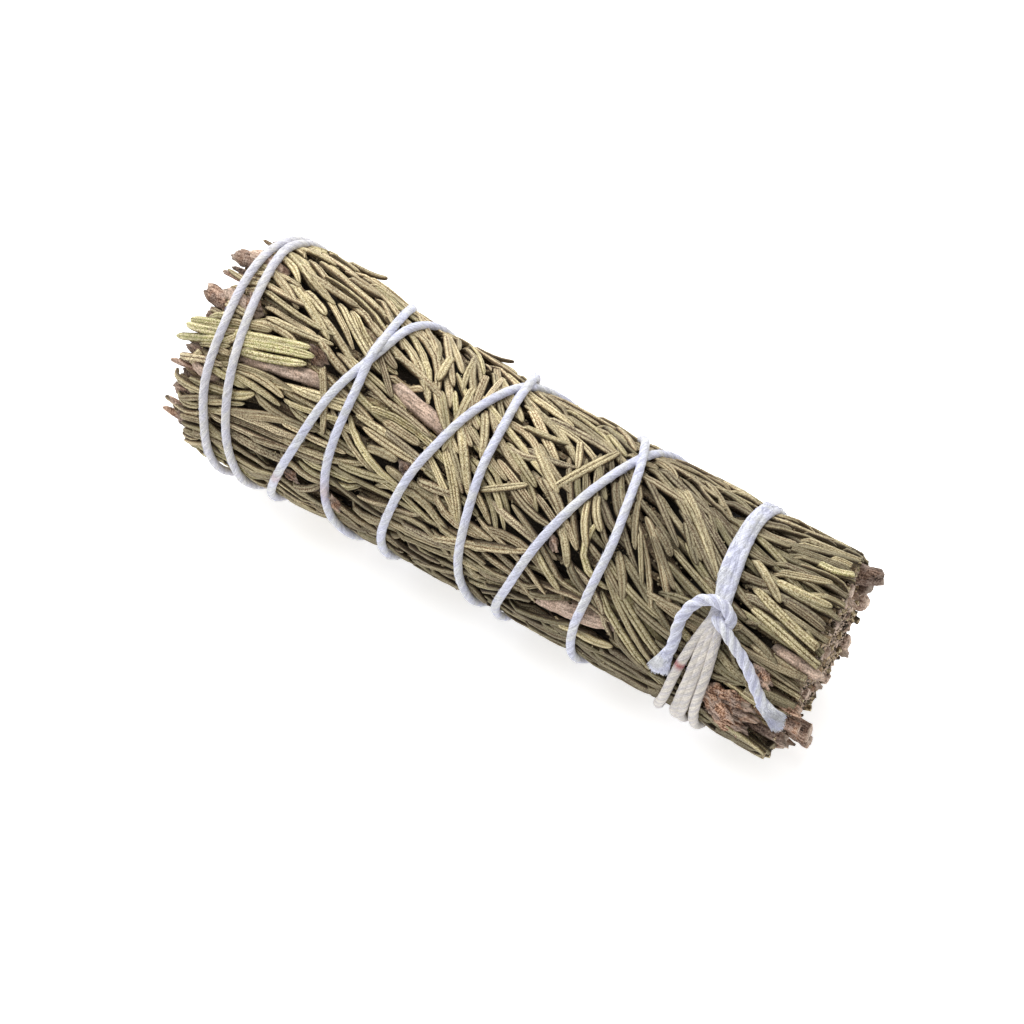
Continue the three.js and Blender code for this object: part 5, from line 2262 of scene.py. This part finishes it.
@dataclass
class StringKnot:
    """The knot and the two tails, whose cut ends have spread into flat tufts."""

    # angle round the bundle in degrees, x, and height above the laid string
    left_tail: Rows = (
        (75, 29, 0), (69, 29.3, 0), (63, 29.6, 0), (57, 29.8, 0.1), (50, 29.6, 0.3),
        (44, 29.6, 0.6), (37.5, 30.1, 0.9), (33, 30.9, 1.2), (30.4, 32, 1.5),
        (29.6, 33.4, 1.5), (31, 34.7, 1.2), (34.2, 35.5, 0.8), (37.5, 35.2, 0.2),
        (38.5, 34.2, -0.4))
    right_tail: Rows = (
        (69, 45.6, 0), (67.2, 44.7, 0), (64.5, 43.6, 0), (59.5, 42.1, 0),
        (53, 40.5, 0.1), (47.3, 38.7, 0.3), (43.4, 37.1, 0.6), (40, 35.7, 0.8),
        (38, 34.4, 0.5), (37.4, 33.2, -0.4))
    rope: Rope = field(default_factory=lambda: Rope(groove=0.27))
    radius: float = 0.80
    fray_length: float = 3.2
    fray_width: float = 1.5          # half the width of the tuft
    fray_height: float = 0.42
    fibres: int = 1500
    fibre_reach: float = 2.1

    def path(self, points: Rows) -> tuple[Array, Array]:
        """Bends a tail smoothly through its points.

        Args:
            points: Degrees round the bundle, x, and how high each is lifted.

        Returns:
            The middle line and the direction out.
        """
        knots = np.array(points, float)
        fine = np.linspace(0, len(knots) - 1, 200)
        index = np.clip(fine.astype(int), 0, len(knots) - 2)
        slopes = np.gradient(knots, axis=0)
        degrees, x, lift = eased(fine - index, knots[index].T, knots[index + 1].T,
                                 (slopes[index].T, slopes[index + 1].T))
        angle = np.radians(degrees)
        height = ROUTE.middle_height(angle) + lift + self.radius - ROUTE.rope_radius
        return FORM.lift(x, angle, height), FORM.outward(angle)

    def add_tuft(self, skin: Skin, path: Array, out: Array, draw: Draw) -> None:
        """Adds the fibres of a tail's cut end.

        Args:
            skin: What they become part of.
            path: The middle line.
            out: The direction out.
            draw: The random draws.
        """
        along = path[0] - path[12]
        along /= np.linalg.norm(along)
        side = np.cross(along, out[0])
        side /= np.linalg.norm(side)
        up = np.cross(side, along)
        if float(up @ out[0]) < 0:
            up = -up
        count = self.fibres
        across = draw.uniform(-1, 1, count)
        high = draw.uniform(-1, 1, count) * np.sqrt(1 - across ** 2)
        back = draw.uniform(0.3, self.fray_length, count)
        spread = 1 - back / self.fray_length
        half = self.radius + (self.fray_width - self.radius) * spread
        rise = self.radius + (self.fray_height - self.radius) * spread
        root = (path[0] - along * back[:, None] + side * (across * half * 0.9)[:, None]
                + up * (high * rise * 0.85 - 0.25 * spread)[:, None])
        reach = np.clip(self.fibre_reach * (1 - 0.25 * across ** 2), 0, None)
        ahead = (back * 0.75 + reach * draw.uniform(0.3, 0.62, count)
                 + 0.35 * np.sin(across * 2.2 + 0.5))
        fan = across * (0.28 + 0.1 * draw.normal(0, 1, count))
        tip = (root + along * ahead[:, None] + side * (fan + draw.normal(0, 0.08, count))[:, None]
               + up * (draw.normal(0.05, 0.18, count) - 0.05 - 0.2 * high)[:, None])
        middle = (root + tip) / 2 + up * draw.normal(0.06, 0.08, count)[:, None]
        middle += side * draw.normal(0, 0.08, count)[:, None]
        # Painted light: a look's second value of -1 paints these fibres brighter.
        add_fibres(skin, root, middle, tip, draw.uniform(0.03, 0.06, count), (0.0, -1.0, 0.0))

    def make(self, material: Material) -> None:
        """Makes the knot.

        Args:
            material: The finish of cotton.
        """
        skin = Skin()
        draw = np.random.default_rng(15)
        for points in (self.left_tail, self.right_tail):
            path, out = self.path(points)
            fray = np.clip(1 - run_along(path) / self.fray_length, 0, 1) ** 1.3
            width = self.radius + (self.fray_width - self.radius) * fray
            high = self.radius + (self.fray_height - self.radius) * fray
            groove = self.rope.groove * (1 - 0.6 * fray)
            lowered = path - out * (self.radius - high)[:, None] * 0.6
            self.rope.add_to(skin, lowered, out, np.stack([width, high], axis=-1),
                             np.zeros(len(path)), np.zeros(len(path)), groove)
            self.add_tuft(skin, path, out, draw)
        skin.settle("cotton_string_knot", material, "cotton_string", "cotton_string")


# ---- floor, light and camera


@dataclass
class Studio:
    """White paper, soft light from above, and a camera that looks down on the bundle."""

    azimuth: float = 33.466          # degrees round from straight in front
    elevation: float = 55.0
    distance: float = 369.0          # mm from the camera to its target
    target: tuple[float, float, float] = (-0.771, -2.993, 16.276)
    lens: float = 98.177
    sensor: float = 36.0
    floor_side: float = 6000.0       # mm
    sky_colour: str = "#ffffff"
    sky: float = 0.54                # its strength
    key_place: tuple[float, float, float] = (-330, 200, 560)
    key_side: float = 900.0
    key_power: float = 8.0

    def place_camera(self) -> None:
        """Makes the camera."""
        turn, rise = math.radians(self.azimuth), math.radians(self.elevation)
        back = Vector((math.sin(turn) * math.cos(rise), -math.cos(turn) * math.cos(rise),
                       math.sin(rise)))
        right = Vector((math.cos(turn), math.sin(turn), 0))
        up = back.cross(right)
        data = bpy.data.cameras.new("camera")
        data.lens = self.lens
        data.sensor_width = self.sensor
        data.clip_start, data.clip_end = 0.01, 20
        camera = bpy.data.objects.new("camera", data)
        where = (Vector(self.target) + back * self.distance) * MM
        camera.matrix_world = Matrix.Translation(where) @ Matrix(
            (right, up, back)).transposed().to_4x4()
        bpy.context.scene.collection.objects.link(camera)
        bpy.context.scene.camera = camera

    def lay_floor(self) -> None:
        """Lays the paper that the bundle rests on."""
        half = self.floor_side / 2
        corners = np.array([(-half, -half, 0), (half, -half, 0), (half, half, 0),
                            (-half, half, 0)], float)
        skin = Skin()
        skin.add(corners, np.array([[0, 1, 2, 3]]), np.zeros((0, 3), int), corners * 0, corners)
        floor = skin.make("paper_floor", PaperFloorFinish().make(), smooth=False)

    def light_scene(self) -> None:
        """Sets the even white surroundings, and a square soft light above and behind."""
        scene = bpy.context.scene
        world = bpy.data.worlds.new("white_surroundings")
        world.use_nodes = True
        tree = world.node_tree
        tree.nodes.clear()
        sky = add_node(tree, "Background", self.sky_colour, self.sky)
        add_node(tree, "OutputWorld", sky)
        scene.world = world
        data = bpy.data.lights.new("key_softbox", "AREA")
        data.shape = "SQUARE"
        data.size = self.key_side * MM
        data.energy = self.key_power
        lamp = bpy.data.objects.new("key_softbox", data)
        lamp.location = Vector(self.key_place) * MM
        lamp.rotation_mode = "QUATERNION"
        lamp.rotation_quaternion = (-Vector(self.key_place)).to_track_quat("-Z", "Y")
        scene.collection.objects.link(lamp)
        scene.view_settings.view_transform = "Standard"


# ---- the bundle


def main() -> None:
    """Builds the studio and the bundle, piece by piece."""
    logging.basicConfig(level=logging.INFO, format="%(message)s")
    studio = Studio()
    studio.place_camera()
    studio.lay_floor()
    studio.light_scene()

    needle = DriedNeedleFinish().make()
    stem = WoodyStemFinish().make()
    cotton = CottonFinish().make()

    cover = NeedleCover()
    needles = cover.build() + EndNeedles().build()
    crumbs = Crumbs(cover.pile)
    crumbs.build()
    middles = [len(needle.x) // 2 for needle in needles]
    x, angle, height = (np.array([getattr(needle, line)[i] for needle, i in zip(needles, middles)])
                        for line in ("x", "angle", "height"))
    share = 1 + height / FORM.outline(x, angle)
    for number, cell in enumerate(sprig_cells()):
        mine = np.flatnonzero(owned(cell, x, angle, share))
        Sprig(cell, [needles[i] for i in mine], crumbs, number).make(needle)
        SprigStem(cell, number).make(stem)
    litter = Litter()
    litter.make_bare_twigs(stem)
    litter.make_end_twigs(stem)
    litter.make_bark_chips(stem)
    litter.make_face_grit(stem)
    StringWinding().make(cotton)
    StringKnot().make(cotton)


if __name__ == "__main__":
    main()
